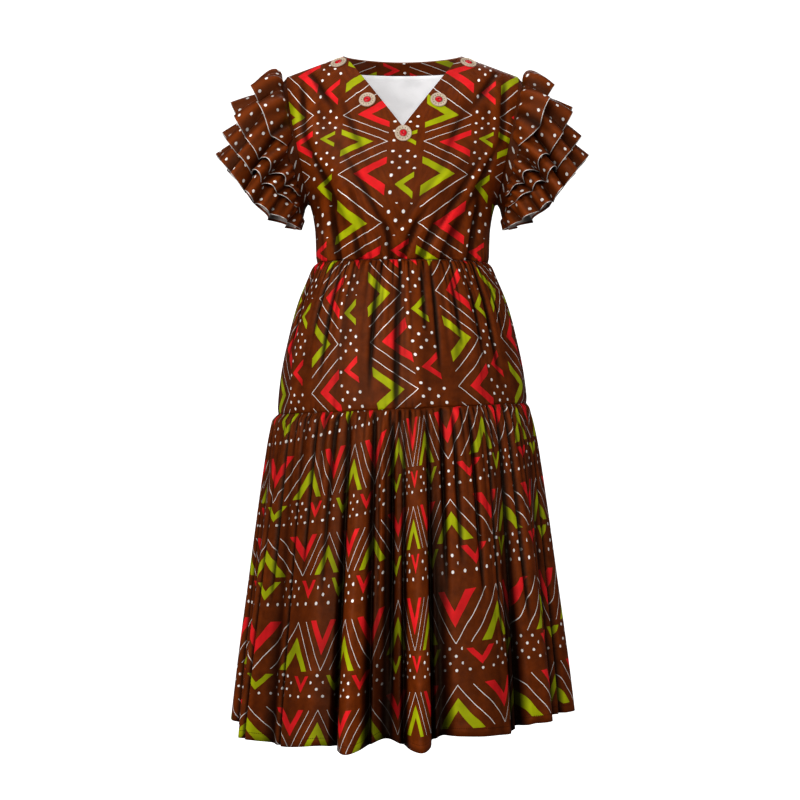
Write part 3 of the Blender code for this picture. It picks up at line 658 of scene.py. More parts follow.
# Middle tier: the first tier of the skirt, front and back, gathered a little into the waist seam.
TIER_SEAM, TIER_SEAM_TILT, SEAM_HALF_WIDTH = -0.606, 0.045, 0.214
SkirtRing = namedtuple("SkirtRing", "height half_width front back")
MIDDLE_TIER = (
    SkirtRing(-0.6250, 0.2155, 0.168, 0.175),
    SkirtRing(-0.5900, 0.2135, 0.164, 0.171),
    SkirtRing(-0.5560, 0.2098, 0.158, 0.165),
    SkirtRing(-0.5220, 0.2040, 0.151, 0.158),
    SkirtRing(-0.4880, 0.1963, 0.143, 0.149),
    SkirtRing(-0.4540, 0.1880, 0.134, 0.138),
    SkirtRing(-0.4200, 0.1774, 0.124, 0.124),
    SkirtRing(-0.3850, 0.1625, 0.112, 0.106),
    SkirtRing(-0.3680, 0.1550, 0.105, 0.096),
    SkirtRing(-0.3570, 0.1485, 0.100, 0.088),
)
# around is in degrees from the centre front towards +X. A fold runs from share start to share end of
# the tier's height, and stands out most at its middle, or at the hem where end is over 1.
Fold = namedtuple("Fold", "around spread out start end")
MIDDLE_FOLDS = (
    Fold(-72, 3.0, -0.0040, -0.2, 0.7), Fold(-60, 7.0, 0.0050, -0.2, 1.1), Fold(-50, 2.5, -0.0035, -0.2, 0.5),
    Fold(-41, 2.2, -0.0040, -0.2, 0.8), Fold(-33, 3.0, 0.0030, -0.2, 0.6), Fold(-24, 6.0, 0.0050, -0.2, 1.1),
    Fold(-15, 1.8, -0.0042, -0.2, 0.9), Fold(-9, 2.0, 0.0030, -0.2, 0.6), Fold(-3, 2.4, -0.0060, -0.2, 1.1),
    Fold(2.5, 1.8, 0.0030, -0.2, 0.7), Fold(6, 5.0, 0.0050, -0.2, 1.1), Fold(11, 1.8, -0.0040, -0.2, 0.5),
    Fold(17, 1.8, -0.0036, -0.2, 0.8), Fold(24, 2.4, 0.0030, -0.2, 0.7), Fold(34, 7.0, 0.0045, -0.2, 1.1),
    Fold(29, 1.8, -0.0040, -0.2, 0.6), Fold(41, 2.0, -0.0038, -0.2, 0.7), Fold(50, 3.0, -0.0040, -0.2, 0.9),
    Fold(60, 2.5, -0.0032, -0.2, 0.6), Fold(70, 7.0, 0.0045, -0.2, 1.1), Fold(79, 3.0, -0.0040, -0.2, 0.8),
    Fold(98, 3.0, -0.0040, -0.2, 0.8), Fold(120, 7.0, 0.0050, -0.2, 1.1), Fold(109, 2.2, -0.0036, -0.2, 0.6),
    Fold(131, 2.2, -0.0040, -0.2, 0.8), Fold(150, 4.0, -0.0050, -0.2, 1.1), Fold(141, 2.4, 0.0030, -0.2, 0.6),
    Fold(162, 2.2, -0.0036, -0.2, 0.7), Fold(178, 6.0, 0.0050, -0.2, 1.1), Fold(171, 2.0, -0.0040, -0.2, 0.6),
    Fold(188, 2.2, -0.0038, -0.2, 0.8), Fold(208, 4.0, -0.0050, -0.2, 1.1), Fold(198, 2.4, 0.0030, -0.2, 0.6),
    Fold(219, 2.2, -0.0036, -0.2, 0.7), Fold(240, 7.0, 0.0050, -0.2, 1.1), Fold(230, 2.2, -0.0040, -0.2, 0.6),
    Fold(254, 2.4, -0.0038, -0.2, 0.8), Fold(265, 3.0, -0.0036, -0.2, 0.6),
)
# count gathers go all round the skirt. They fade away from the seam over the share fade of the tier's
# height, and drift is how many times in a turn they crowd together and part again.
Gathers = namedtuple("Gathers", "count depth fade drift")
MIDDLE_GATHERS = (Gathers(104, 0.0028, 0.050, 9), Gathers(61, 0.0036, 0.13, 7), Gathers(37, 0.0030, 0.28, 5))
MIDDLE_FOOT_GATHERS = (Gathers(83, 0.0010, 0.035, 8),)
# Where the bands of the print fall round the middle tier.
PrintPlace = namedtuple("PrintPlace", "around over")
MIDDLE_PRINT = (
    PrintPlace(-90, -0.300), PrintPlace(-48.6, -0.137), PrintPlace(-15.9, 0), PrintPlace(22.3, 0.137),
    PrintPlace(58, 0.274), PrintPlace(90, 0.400), PrintPlace(270, 1.080),
)
MIDDLE_PRINT_ROW, MIDDLE_PRINT_STEP = -0.4135, 0.0801
MIDDLE_PRINT_LEAN, MIDDLE_PRINT_TILT = 0.17, 0.045
MIDDLE_LEAN_FROM = MIDDLE_PRINT_ROW - 0.083
MIDDLE_COLUMNS, MIDDLE_ROWS = 420, 71
# The run of the cloth round the tier is measured on this row, a little below the middle.
MIDDLE_MEASURED_ROW = 40
MIDDLE_HEIGHT = 0.25
MIDDLE_LIGHT = 0.93
MIDDLE_SHADES = (ShadeScale(3, 0.0012, 0.70), ShadeScale(7, 0.0024, 0.65), ShadeScale(16, 0.0045, 0.45))
middle_print = cotton("printed_cotton_middle_tier", chevron_print(0.006, 0.98, small_shift=0.557))


def tier_seam_height(x):
    return TIER_SEAM + TIER_SEAM_TILT * x


def folds_at(folds, angles, shares):
    """How far the folds stand out together. angles are columns and shares are rows."""
    total = np.zeros((len(shares), len(angles)))
    for fold in folds:
        away = (angles - fold.around + 180) % 360 - 180
        place = np.clip((shares - fold.start) / (fold.end - fold.start), 0, 1)
        if fold.end > 1:
            grow = np.clip((shares - fold.start) / (1 - fold.start), 0, 1) ** 0.85
        else:
            grow = np.sin(pi * place) ** 0.8
        total += fold.out * grow[:, None] * np.exp(-2 * (away / fold.spread) ** 2)[None, :]
    return total


def gathers_at(gathers, angles, shares):
    """Rounded ridges with narrow creases between them, which die away from the seam."""
    total = np.zeros((len(shares), len(angles)))
    for index, set_of in enumerate(gathers):
        turns = angles * set_of.count / 360 + 0.9 * np.sin(np.radians(angles * set_of.drift + 70 * index))
        length = set_of.fade * (1 + 0.45 * np.sin(turns * 1.7 + index) + 0.30 * np.sin(turns * 0.61))
        ridge = np.abs(np.cos(pi * turns)) ** 0.7 - 0.62
        total += set_of.depth * ridge[None, :] * np.exp(-shares[:, None] / length[None, :])
    return total * np.minimum(shares / 0.012, 1)[:, None]


def skirt_points(table, angles, heights, proud):
    """Points on the skirt at angles from the centre front, moved out of it by proud."""
    turn = np.radians(angles)
    half_width, front, back = (column_at(table, column, "height", heights)
                               for column in ("half_width", "front", "back"))
    depth = np.where(np.cos(turn) > 0, front, back)
    outward = unit(np.stack([np.sin(turn) / half_width, -np.cos(turn) / depth, 0 * depth], axis=-1))
    flat = np.stack([half_width * np.sin(turn), -depth * np.cos(turn), heights + 0 * turn], axis=-1)
    return flat + outward * proud[..., None]


def half_turn(side, columns):
    return (-90 if side == FRONT else 90) + np.linspace(0, 180, columns + 1)


def off_side_seams(angles):
    """1 all over a half of the skirt but 0 at its two side seams."""
    return np.minimum(np.abs(np.cos(np.radians(angles))) / 0.035, 1)


for side, name, node in ((FRONT, "middle_tier_front", "skirt_middle_front"),
                         (BACK, "middle_tier_back", "skirt_middle_back")):
    angles = half_turn(side, MIDDLE_COLUMNS)
    sideways = SEAM_HALF_WIDTH * np.sin(np.radians(angles))
    shares = np.linspace(0, 1, MIDDLE_ROWS)
    heights = WAIST + (tier_seam_height(sideways) - WAIST)[None, :] * shares[:, None]
    proud = folds_at(MIDDLE_FOLDS, angles, shares)
    proud *= (np.sin(pi * np.clip(shares, 0.02, 0.98)) ** 0.5)[:, None]
    proud += gathers_at(MIDDLE_GATHERS, angles, shares)
    proud += gathers_at(MIDDLE_FOOT_GATHERS, angles, 1 - shares)
    drop = shares * MIDDLE_HEIGHT
    proud *= off_side_seams(angles)
    proud *= (1 - hump(drop, SEAM_FLAT))[:, None]
    proud -= (SEAM_TUCK * (hump(drop, SEAM_ROUNDING) + hump(MIDDLE_HEIGHT - drop, SEAM_ROUNDING)))[:, None]
    shape = skirt_points(MIDDLE_TIER, np.broadcast_to(angles, heights.shape), heights, proud)
    across = run_along(shape[MIDDLE_MEASURED_ROW:MIDDLE_MEASURED_ROW + 1], 1)
    down = run_along(shape, 0)
    over = column_at(MIDDLE_PRINT, "over", "around", angles)
    over = over - MIDDLE_PRINT_LEAN * (MIDDLE_LEAN_FROM - heights)
    row_tilt = MIDDLE_PRINT_TILT * sideways[None, :]
    rows_at = (MIDDLE_PRINT_ROW + row_tilt - heights) / MIDDLE_PRINT_STEP + 2
    tier = hang_cloth(name, shape, (across, down), (over, rows_at), (0, 0, -0.48),
                      (middle_print, wrong_side, cut_edge),
                      shade=MIDDLE_LIGHT * shade_in(proud, MIDDLE_SHADES))
    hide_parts(node)


# Lower tier: the long flounce, front and back, gathered closely into the tier seam. Its folds grow
# towards the hem, where it turns up in a narrow stitched hem.
LOWER_TIER = (
    SkirtRing(-1.1500, 0.2830, 0.236, 0.242),
    SkirtRing(-1.0400, 0.2725, 0.226, 0.232),
    SkirtRing(-0.9000, 0.2570, 0.211, 0.217),
    SkirtRing(-0.7640, 0.2420, 0.195, 0.201),
    SkirtRing(-0.6950, 0.2335, 0.186, 0.192),
    SkirtRing(-0.6600, 0.2285, 0.181, 0.187),
    SkirtRing(-0.6260, 0.2215, 0.173, 0.180),
    SkirtRing(-0.6140, 0.2180, 0.169, 0.176),
    SkirtRing(-0.5900, 0.2120, 0.164, 0.171),
)
LOWER_FOLDS = (
    Fold(-88, 9.0, 0.013, 0, 2), Fold(-77, 5.0, -0.014, 0, 2), Fold(-65, 7.5, 0.018, 0, 2),
    Fold(-52, 6.0, -0.012, 0, 2), Fold(-33, 12.0, 0.018, 0, 2), Fold(-17.0, 5.5, 0.036, 0, 2),
    Fold(-5.5, 6.0, -0.024, 0, 2), Fold(5.5, 5.5, 0.034, 0, 2), Fold(13.0, 4.5, -0.020, 0, 2),
    Fold(27, 11.0, 0.014, 0, 2), Fold(43, 4.5, -0.020, 0, 2), Fold(55, 8.0, 0.017, 0, 2),
    Fold(68, 5.5, -0.014, 0, 2), Fold(82, 8.0, 0.016, 0, 2), Fold(97, 6.0, -0.015, 0, 2),
    Fold(112, 8.0, 0.020, 0, 2), Fold(126, 5.5, -0.018, 0, 2), Fold(139, 7.0, 0.024, 0, 2),
    Fold(152, 5.0, -0.018, 0, 2), Fold(166, 8.0, 0.030, 0, 2), Fold(180, 5.5, -0.022, 0, 2),
    Fold(193, 6.0, 0.028, 0, 2), Fold(205, 5.5, -0.018, 0, 2), Fold(220, 9.0, 0.020, 0, 2),
    Fold(236, 5.5, -0.018, 0, 2), Fold(250, 7.0, 0.022, 0, 2), Fold(261, 5.0, -0.013, 0, 2),
)
# Narrow deep creases, beside the large folds and between them.
LOWER_CREASES = (
    Fold(-83, 1.7, -0.008, -0.1, 2), Fold(-64, 1.8, -0.006, -0.1, 2), Fold(-57.5, 1.5, -0.004, -0.1, 0.6),
    Fold(-46, 1.6, -0.005, -0.1, 2), Fold(-39, 1.5, -0.004, -0.1, 0.5), Fold(-30, 1.5, -0.004, -0.1, 0.6),
    Fold(-22.6, 1.6, -0.015, -0.1, 2), Fold(-11.8, 1.5, -0.014, -0.1, 2), Fold(-8, 1.2, 0.006, -0.1, 0.8),
    Fold(-4.0, 1.4, -0.008, -0.1, 0.9), Fold(0.4, 1.5, -0.013, -0.1, 2), Fold(10.4, 1.4, -0.018, -0.1, 2),
    Fold(16.5, 1.5, -0.007, -0.1, 0.6), Fold(22, 1.6, -0.006, -0.1, 0.5), Fold(30, 1.5, -0.008, -0.1, 0.6),
    Fold(38, 1.5, -0.006, -0.1, 0.8), Fold(45.8, 1.5, -0.015, -0.1, 2), Fold(51, 1.4, -0.006, -0.1, 0.7),
    Fold(60.5, 1.6, -0.010, -0.1, 2), Fold(74, 1.6, -0.011, -0.1, 2), Fold(89, 1.8, -0.008, -0.1, 0.8),
    Fold(103, 1.7, -0.013, -0.1, 2), Fold(118, 1.6, -0.010, -0.1, 2), Fold(131, 1.5, -0.013, -0.1, 2),
    Fold(145, 1.6, -0.012, -0.1, 2), Fold(158, 1.5, -0.010, -0.1, 0.9), Fold(173, 1.5, -0.015, -0.1, 2),
    Fold(186, 1.5, -0.012, -0.1, 2), Fold(199.5, 1.5, -0.014, -0.1, 2), Fold(211, 1.6, -0.010, -0.1, 0.8),
    Fold(227, 1.7, -0.013, -0.1, 2), Fold(242, 1.6, -0.012, -0.1, 2), Fold(256, 1.6, -0.010, -0.1, 2),
)
CREASE_DEPTH = 1.3
LOWER_GATHERS = (Gathers(124, 0.0040, 0.045, 8), Gathers(71, 0.0056, 0.12, 6), Gathers(43, 0.0042, 0.23, 5))
HemPlace = namedtuple("HemPlace", "around height")
HEM = (
    HemPlace(-90, -1.1350), HemPlace(-66, -1.1540), HemPlace(-46, -1.1560), HemPlace(-26, -1.1460),
    HemPlace(-17, -1.1530), HemPlace(-6, -1.1360), HemPlace(5.5, -1.1490), HemPlace(15, -1.1300),
    HemPlace(30, -1.1310), HemPlace(41, -1.1340), HemPlace(50, -1.1210), HemPlace(70, -1.1200),
    HemPlace(90, -1.1197), HemPlace(112, -1.1240), HemPlace(139, -1.1330), HemPlace(152, -1.1280),
    HemPlace(166, -1.1390), HemPlace(180, -1.1300), HemPlace(193, -1.1400), HemPlace(220, -1.1390),
    HemPlace(250, -1.1420), HemPlace(270, -1.1350),
)
# Where the cloth's half repeats fall round the lower tier. They crowd together beside the deep folds.
LowerPrintPlace = namedtuple("LowerPrintPlace", "around count")
LOWER_PRINT = (
    LowerPrintPlace(-90, -8.2), LowerPrintPlace(-76, -7), LowerPrintPlace(-62.3, -6),
    LowerPrintPlace(-39, -5), LowerPrintPlace(-28.3, -4), LowerPrintPlace(-19.5, -3),
    LowerPrintPlace(-11.3, -2), LowerPrintPlace(-1.7, -1), LowerPrintPlace(3.9, 0),
    LowerPrintPlace(9, 1), LowerPrintPlace(18.6, 2), LowerPrintPlace(36, 3),
    LowerPrintPlace(44.8, 4), LowerPrintPlace(61, 5), LowerPrintPlace(72, 6),
    LowerPrintPlace(90, 7.4), LowerPrintPlace(103, 9), LowerPrintPlace(120, 10),
    LowerPrintPlace(131, 11.4), LowerPrintPlace(150, 13), LowerPrintPlace(173, 15),
    LowerPrintPlace(187, 16.6), LowerPrintPlace(200, 18), LowerPrintPlace(227, 20),
    LowerPrintPlace(243, 22), LowerPrintPlace(270, 24),
)
LOWER_PITCH = 0.1433
LOWER_PRINT_HALF_WIDTH = SEAM_HALF_WIDTH * 1.2
LOWER_PRINT_LEAN_AT_HEAD, LOWER_PRINT_LEAN_AT_HEM = 0.21, 0.08
# Towards the viewer's left the bands lie lower, from just left of the middle on.
LOWER_PRINT_DROP_AT_LEFT, DROP_FROM, DROP_EASE = 0.021, 0.02, 0.30
LOWER_COLUMNS, LOWER_ROWS, LOWER_ROW_CROWDING = 560, 75, 1.25
LOWER_HEIGHT = 0.53
# Over this share of its height the tier takes over from the middle tier's form, at the seam.
LOWER_BLEND = 0.02
LOWER_LIGHT = 0.76
LOWER_SHADES = (ShadeScale(4, 0.0024, 0.75), ShadeScale(10, 0.0060, 0.75), ShadeScale(24, 0.0200, 0.62))
# The heights in the middle of the lower tier where its bands have their downward tips.
LowerPrintRow = namedtuple("LowerPrintRow", "height over")
LOWER_PRINT_ROWS = (
    LowerPrintRow(-1.2000, -0.2100), LowerPrintRow(-1.1250, -0.1433), LowerPrintRow(-0.9932, 0),
    LowerPrintRow(-0.8342, 0.1433), LowerPrintRow(-0.7028, 0.2866), LowerPrintRow(-0.5600, 0.4200),
)
lower_print = cotton("printed_cotton_lower_tier", chevron_print(
    0.026, 1.05, LOWER_PITCH, small_shift=0.5, dots_along_hem=True, hem_stitch=0.012, lowest=-0.146))

for side, name, node in ((FRONT, "lower_tier_front", "skirt_lower_front"),
                         (BACK, "lower_tier_back", "skirt_lower_back")):
    angles = half_turn(side, LOWER_COLUMNS)
    sideways = np.sin(np.radians(angles))
    shares = np.linspace(0, 1, LOWER_ROWS) ** LOWER_ROW_CROWDING
    head = tier_seam_height(SEAM_HALF_WIDTH * sideways)
    foot = column_at(HEM, "height", "around", angles)
    heights = head + (foot - head)[None, :] * shares[:, None]
    creases = folds_at(LOWER_CREASES, angles, shares) * CREASE_DEPTH
    proud = folds_at(LOWER_FOLDS, angles, shares) + creases * np.minimum(shares / EDGE_FADE, 1)[:, None]
    proud += gathers_at(LOWER_GATHERS, angles, shares)
    proud *= off_side_seams(angles)
    proud -= (SEAM_TUCK * hump(shares * LOWER_HEIGHT, SEAM_ROUNDING))[:, None]
    wide = np.broadcast_to(angles, heights.shape)
    at_seam = skirt_points(MIDDLE_TIER, wide, heights, proud)
    blend = np.clip(shares / LOWER_BLEND, 0, 1)[:, None, None]
    shape = at_seam * (1 - blend) + skirt_points(LOWER_TIER, wide, heights, proud) * blend
    across = run_along(shape[-1:], 1)
    down = run_along(shape, 0)
    down = down - down[-1:]
    lean = LOWER_PRINT_LEAN_AT_HEAD + (LOWER_PRINT_LEAN_AT_HEM - LOWER_PRINT_LEAN_AT_HEAD) * shares[:, None]
    to_left = np.clip((DROP_FROM - sideways) / DROP_EASE, 0, 1)
    upright = heights - lean * LOWER_PRINT_HALF_WIDTH * sideways[None, :]
    upright = upright + (LOWER_PRINT_DROP_AT_LEFT * to_left * to_left * (3 - 2 * to_left))[None, :]
    over = column_at(LOWER_PRINT_ROWS, "over", "height", upright)
    rows_at = np.broadcast_to(column_at(LOWER_PRINT, "count", "around", angles) + 1, heights.shape)
    tier = hang_cloth(name, shape, (across, down), (over, rows_at), (0, 0, -0.9),
                      (lower_print, wrong_side, cut_edge),
                      shade=LOWER_LIGHT * shade_in(proud, LOWER_SHADES))
    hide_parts(node)


# Sleeves: a short plain sleeve of the print is sewn into each armhole, and four ruffles of dotted
# cotton are sewn round it one below the other. Each ruffle's edge is overcast with white thread.
SleeveRing = namedtuple("SleeveRing", "share top_x top_z bottom_x bottom_z half_depth")
SLEEVE = (
    SleeveRing(0.08, 0.2060, -0.046, 0.1630, -0.2562, 0.067),
    SleeveRing(0.30, 0.2250, -0.074, 0.1670, -0.2630, 0.069),
    SleeveRing(0.58, 0.2450, -0.108, 0.1690, -0.2710, 0.070),
    SleeveRing(0.86, 0.2610, -0.144, 0.1710, -0.2790, 0.070),
    SleeveRing(1.00, 0.2680, -0.162, 0.1725, -0.2840, 0.069),
)
ARMHOLE_SHARES = (0, 0.05, 0.125, 0.228, 0.347, 0.469, 0.577, 0.649, 0.69)
# A place on a ruffle's free edge: around is 0 on top of the arm, 90 in front and 180 below it. lift is
# how far the cloth bows out above that place, and wave how high its waves are there.
EdgePlace = namedtuple("EdgePlace", "around x z forward lift wave")
Ruffle = namedtuple("Ruffle", "name flat share phase edge")
RUFFLES = (
    Ruffle("top", (0.44, 0.055), 0.08, 0, (
        EdgePlace(0, 0.2500, -0.050, 0.000, 0.036, 0.005),
        EdgePlace(35, 0.2480, -0.079, 0.068, 0.028, 0.008),
        EdgePlace(60, 0.2340, -0.116, 0.100, 0.020, 0.008),
        EdgePlace(78, 0.2150, -0.152, 0.106, 0.012, 0.005),
        EdgePlace(90, 0.1940, -0.166, 0.081, 0.003, 0.000),
    )),
    Ruffle("second", (0.60, 0.055), 0.30, 35, (
        EdgePlace(0, 0.2925, -0.089, 0.000, 0.012, 0.006),
        EdgePlace(45, 0.2660, -0.149, 0.080, 0.014, 0.009),
        EdgePlace(90, 0.2255, -0.200, 0.106, 0.013, 0.009),
        EdgePlace(120, 0.1940, -0.229, 0.092, 0.008, 0.005),
        EdgePlace(142.5, 0.1755, -0.246, 0.060, 0.003, 0.000),
    )),
    Ruffle("third", (0.59, 0.052), 0.58, 70, (
        EdgePlace(0, 0.3085, -0.135, 0.000, 0.012, 0.006),
        EdgePlace(45, 0.2800, -0.177, 0.073, 0.012, 0.009),
        EdgePlace(90, 0.2370, -0.223, 0.103, 0.010, 0.008),
        EdgePlace(127.5, 0.1980, -0.252, 0.084, 0.006, 0.004),
        EdgePlace(150, 0.1790, -0.265, 0.050, 0.003, 0.000),
    )),
    Ruffle("lowest", (0.69, 0.050), 0.86, 105, (
        EdgePlace(0, 0.3230, -0.168, 0.000, 0.014, 0.006),
        EdgePlace(45, 0.2890, -0.210, 0.070, 0.012, 0.009),
        EdgePlace(90, 0.2470, -0.261, 0.100, 0.008, 0.008),
        EdgePlace(135, 0.2000, -0.289, 0.076, 0.004, 0.004),
        EdgePlace(180, 0.1720, -0.300, 0.000, 0.004, 0.001),
    )),
)
RUFFLE_GAP = 0.0022
RUFFLE_WAVES, WAVE_DRIFT, WAVE_DRIFT_TURNS = 13, 62, 3
WAVE_HEIGHT, WAVE_UNEVENNESS, FULL_WAVE = 1.45, 0.45, 0.004
PLEATS_A_WAVE, PLEAT_HEIGHT = 2.6, 0.0022
# How much light is lost in the hollows of the waves and under the seam, and how pleats vary it.
HOLLOW_SHADE, SEAM_SHADE, SEAM_SHADE_REACH, PLEAT_SHADE = 0.90, 0.75, 0.18, 0.34
RUFFLE_DOT_STEP, RUFFLE_DOT_ROW, RUFFLE_DOT_RADIUS = 0.0330, 0.0330 * 0.62, 0.0029
SLEEVE_SEAM_SHARE = 0.08
SLEEVE_PRINT_START, SLEEVE_PRINT_STEP, SLEEVE_LIGHT = 0.0735, 0.08, 0.55
RUFFLE_BROWN = (0.168, 0.0285, 0.0030, 1)
RUFFLE_PALE = (0.50, 0.43, 0.40, 1)
THREAD_WIDTH, TURNED_HEM = 0.0010, 0.0045


def sleeve_ellipse(around, share):
    """Points on the plain sleeve, and the way out of it, at angles round the arm."""
    turn = np.radians(around)
    top_x, top_z, bottom_x, bottom_z, depth = (column_at(SLEEVE, column, "share", share)
                                               for column in SleeveRing._fields[1:])
    top, bottom = np.array([top_x, 0, top_z]), np.array([bottom_x, 0, bottom_z])
    middle, upward = (top + bottom) / 2, (top - bottom) / 2
    forward = np.array([0, -1, 0])
    points = middle + np.cos(turn)[:, None] * upward + np.sin(turn)[:, None] * depth * forward
    outward = (np.cos(turn)[:, None] * upward / np.linalg.norm(upward) ** 2
               + np.sin(turn)[:, None] * forward / depth)
    return points, unit(outward)


def armhole_points(around):
    """Points on the +X armhole's rim, at angles from the shoulder round by the front."""
    folded = np.abs((around + 180) % 360 - 180)
    shares = smooth_curve(np.linspace(0, 180, len(ARMHOLE_SHARES)), ARMHOLE_SHARES, folded)
    top = float(shoulder_height(TOP_HALF_WIDTH))
    points = []
    for angle, share in zip(around, shares):
        side = BACK if angle % 360 > 180 else FRONT
        point = bodice_point(side, 1.0, np.float64(top + (WAIST - top) * share))
        points.append(point * (1, 0, 1) if angle % 180 == 0 else point)
    return np.array(points)


def dotted_cotton(name, ground, dot_colour, hem_colour):
    """Cotton with scattered white dots, a hem strip in its own colour and white thread on the edge."""

    def colour_of(tree):
        sums = Sums(tree)
        where, across, down = map_of(tree, "cloth")
        faint = tuple(channel * 0.62 for channel in ground[:3]) + (1,)
        colour = mixed(tree, noise(tree, where, 0.014, 4), faint, ground)
        line = sums.whole_steps(down, RUFFLE_DOT_ROW)
        shifted = sums.add(across, sums.times(sums.rest(line, 2), RUFFLE_DOT_STEP / 2))
        sideways = sums.less(sums.rest(shifted, RUFFLE_DOT_STEP), RUFFLE_DOT_STEP / 2)
        downward = sums.less(sums.rest(down, RUFFLE_DOT_ROW), RUFFLE_DOT_ROW / 2)
        dots = sums.below(sums.squares(sideways, downward), RUFFLE_DOT_RADIUS**2)
        colour = mixed(tree, dots, colour, dot_colour)
        colour = mixed(tree, sums.above(down, -TURNED_HEM), colour, hem_colour)
        return mixed(tree, sums.above(down, -THREAD_WIDTH), colour, CHALK)

    return cotton(name, colour_of, roughness=0.42, crumple=0.0010)


ruffle_face = dotted_cotton("dotted_cotton", RUFFLE_BROWN, CHALK, RUFFLE_BROWN)
ruffle_wrong_side = dotted_cotton("dotted_cotton_wrong_side", RUFFLE_PALE, RUFFLE_PALE, RUFFLE_BROWN)
ruffle_thread = cotton("overcast_thread", plain_colour(CHALK), crumple=0.0004)
sleeve_print = cotton("printed_cotton_sleeve", chevron_print(0.010, 1.0))

for hand, side_name in ((-1, "left"), (1, "right")):
    mirror = np.array([hand, 1, 1])
    armpit = (hand * 0.19, 0, -0.19)
    around = np.arange(0, 360, 2.5)
    rim = armhole_points(around)
    first_ring = sleeve_ellipse(around, SLEEVE_SEAM_SHARE)[0]
    rings = [rim + (first_ring - rim) * step for step in np.linspace(0, 1, 9)[:-1]]
    rings += [sleeve_ellipse(around, share)[0] for share in np.linspace(SLEEVE_SEAM_SHARE, 1, 27)]
    shape = np.stack(rings) * mirror
    wrapped = np.concatenate([shape, shape[:, :1]], axis=1)
    across, down = run_along(wrapped, 1), run_along(wrapped, 0)
    chart = (SLEEVE_PRINT_START + down * 0.5, across / SLEEVE_PRINT_STEP)
    sleeve = hang_cloth("sleeve_" + side_name + "_plain", shape, (across, down), chart, armpit,
                        (sleeve_print, sleeve_print, cut_edge), closed=True, shade=SLEEVE_LIGHT)
    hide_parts("sleeve_" + side_name)

    for ruffle in RUFFLES:
        last = ruffle.edge[-1].around
        whole = last == 180
        around = np.arange(0, 360, 1.5) if whole else np.linspace(-last, last, 2 * round(last / 1.5) + 1)
        turn = np.abs((around + 180) % 360 - 180)
        reach_x, reach_z, reach_forward, bow, wave = (column_at(ruffle.edge, column, "around", turn)
                                                      for column in EdgePlace._fields[1:])
        seam, outward = sleeve_ellipse(around, ruffle.share)
        seam = seam + outward * RUFFLE_GAP
        forward = np.where((around % 360) > 180, -1, 1)
        edge = np.stack([reach_x, -forward * reach_forward, reach_z], axis=-1)
        bend = seam + outward * bow[:, None]
        waviness = np.minimum(wave / FULL_WAVE, 1)
        turns = (around * RUFFLE_WAVES + ruffle.phase + hand * 40
                 + WAVE_DRIFT * np.sin(np.radians(around * WAVE_DRIFT_TURNS + ruffle.phase))) / 360
        uneven = 1 + WAVE_UNEVENNESS * np.sin(np.radians(around * 4 + ruffle.phase * 2))
        swing = WAVE_HEIGHT * wave * uneven * (2.3 * np.abs(np.cos(pi * turns)) ** 0.75 - 1.4)
        pleats = np.cos(turns * 2 * pi * PLEATS_A_WAVE)
        down_share = np.linspace(0, 1, 25)[:, None]
        shares = down_share[:, :, None]
        smooth = (1 - shares) ** 2 * seam + 2 * shares * (1 - shares) * bend + shares**2 * edge
        normals = normals_of(smooth, (0.19, 0, -0.19), whole)
        lift = swing * down_share**0.8 + (PLEAT_HEIGHT * waviness * pleats
                                          * np.sin(pi * np.minimum(down_share * 1.3, 1)))
        shape = (smooth + normals * lift[:, :, None]) * mirror
        valley = (1 - np.abs(np.cos(pi * turns))) * waviness
        shade = 1 - HOLLOW_SHADE * valley**1.2 * down_share**0.3
        shade = shade * (1 - SEAM_SHADE * np.exp(-down_share / SEAM_SHADE_REACH))
        shade = shade * (1.06 + PLEAT_SHADE * pleats)
        wrapped = np.concatenate([shape, shape[:, :1]], axis=1) if whole else shape
        across = run_along(wrapped[-1:], 1)
        down = run_along(wrapped, 0)
        piece = hang_cloth("ruffle_" + side_name + "_" + ruffle.name, shape, (across, down - down[-1:]),
                           (across + 0 * down, down), armpit,
                           (ruffle_face, ruffle_wrong_side, ruffle_thread), closed=whole, shade=shade)
        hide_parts("ruffle_" + ruffle.name + "_" + side_name)


# Buttons: five turned discs of a pale, bone-like material sewn on along the neck, each with a ring of
# small pits, a raised rim and a collar that holds a red domed stone.
LatheRing = namedtuple("LatheRing", "radius height")
BUTTON_PROFILE = (
    LatheRing(0.0140, 0.0006), LatheRing(0.0140, 0.0018), LatheRing(0.0136, 0.0025),
    LatheRing(0.0130, 0.0027), LatheRing(0.0122, 0.0025), LatheRing(0.0116, 0.0020),
    LatheRing(0.0076, 0.0020), LatheRing(0.0072, 0.0026), LatheRing(0.0066, 0.0027),
    LatheRing(0.0062, 0.0022), LatheRing(0.0060, 0.0012), LatheRing(0.0010, 0.0012),
)
STONE_PROFILE = (
    LatheRing(0.0058, 0.0006), LatheRing(0.0057, 0.0012), LatheRing(0.0050, 0.0018),
    LatheRing(0.0038, 0.0022), LatheRing(0.0027, 0.0023), LatheRing(0.0018, 0.0021),
    LatheRing(0.0010, 0.0018), LatheRing(0.0004, 0.0017),
)
BUTTON_FOOT_RADIUS, STONE_FOOT_RADIUS = 0.0137, 0.0058
STONE_SEAT, BUTTON_SEAT = 0.0013, 0.0001
PIT_RING, PIT_RADIUS, PITS = 0.0097, 0.00105, 13
COLLAR_INSIDE, COLLAR_OUTSIDE = 0.0058, 0.0068
BONE, BONE_DARK = (0.80, 0.64, 0.47, 1), (0.17, 0.105, 0.060, 1)
STONE_RED, STONE_DEEP = (0.72, 0.006, 0.014, 1), (0.20, 0.001, 0.003, 1)
STONE_HEART_RADIUS = 0.0013


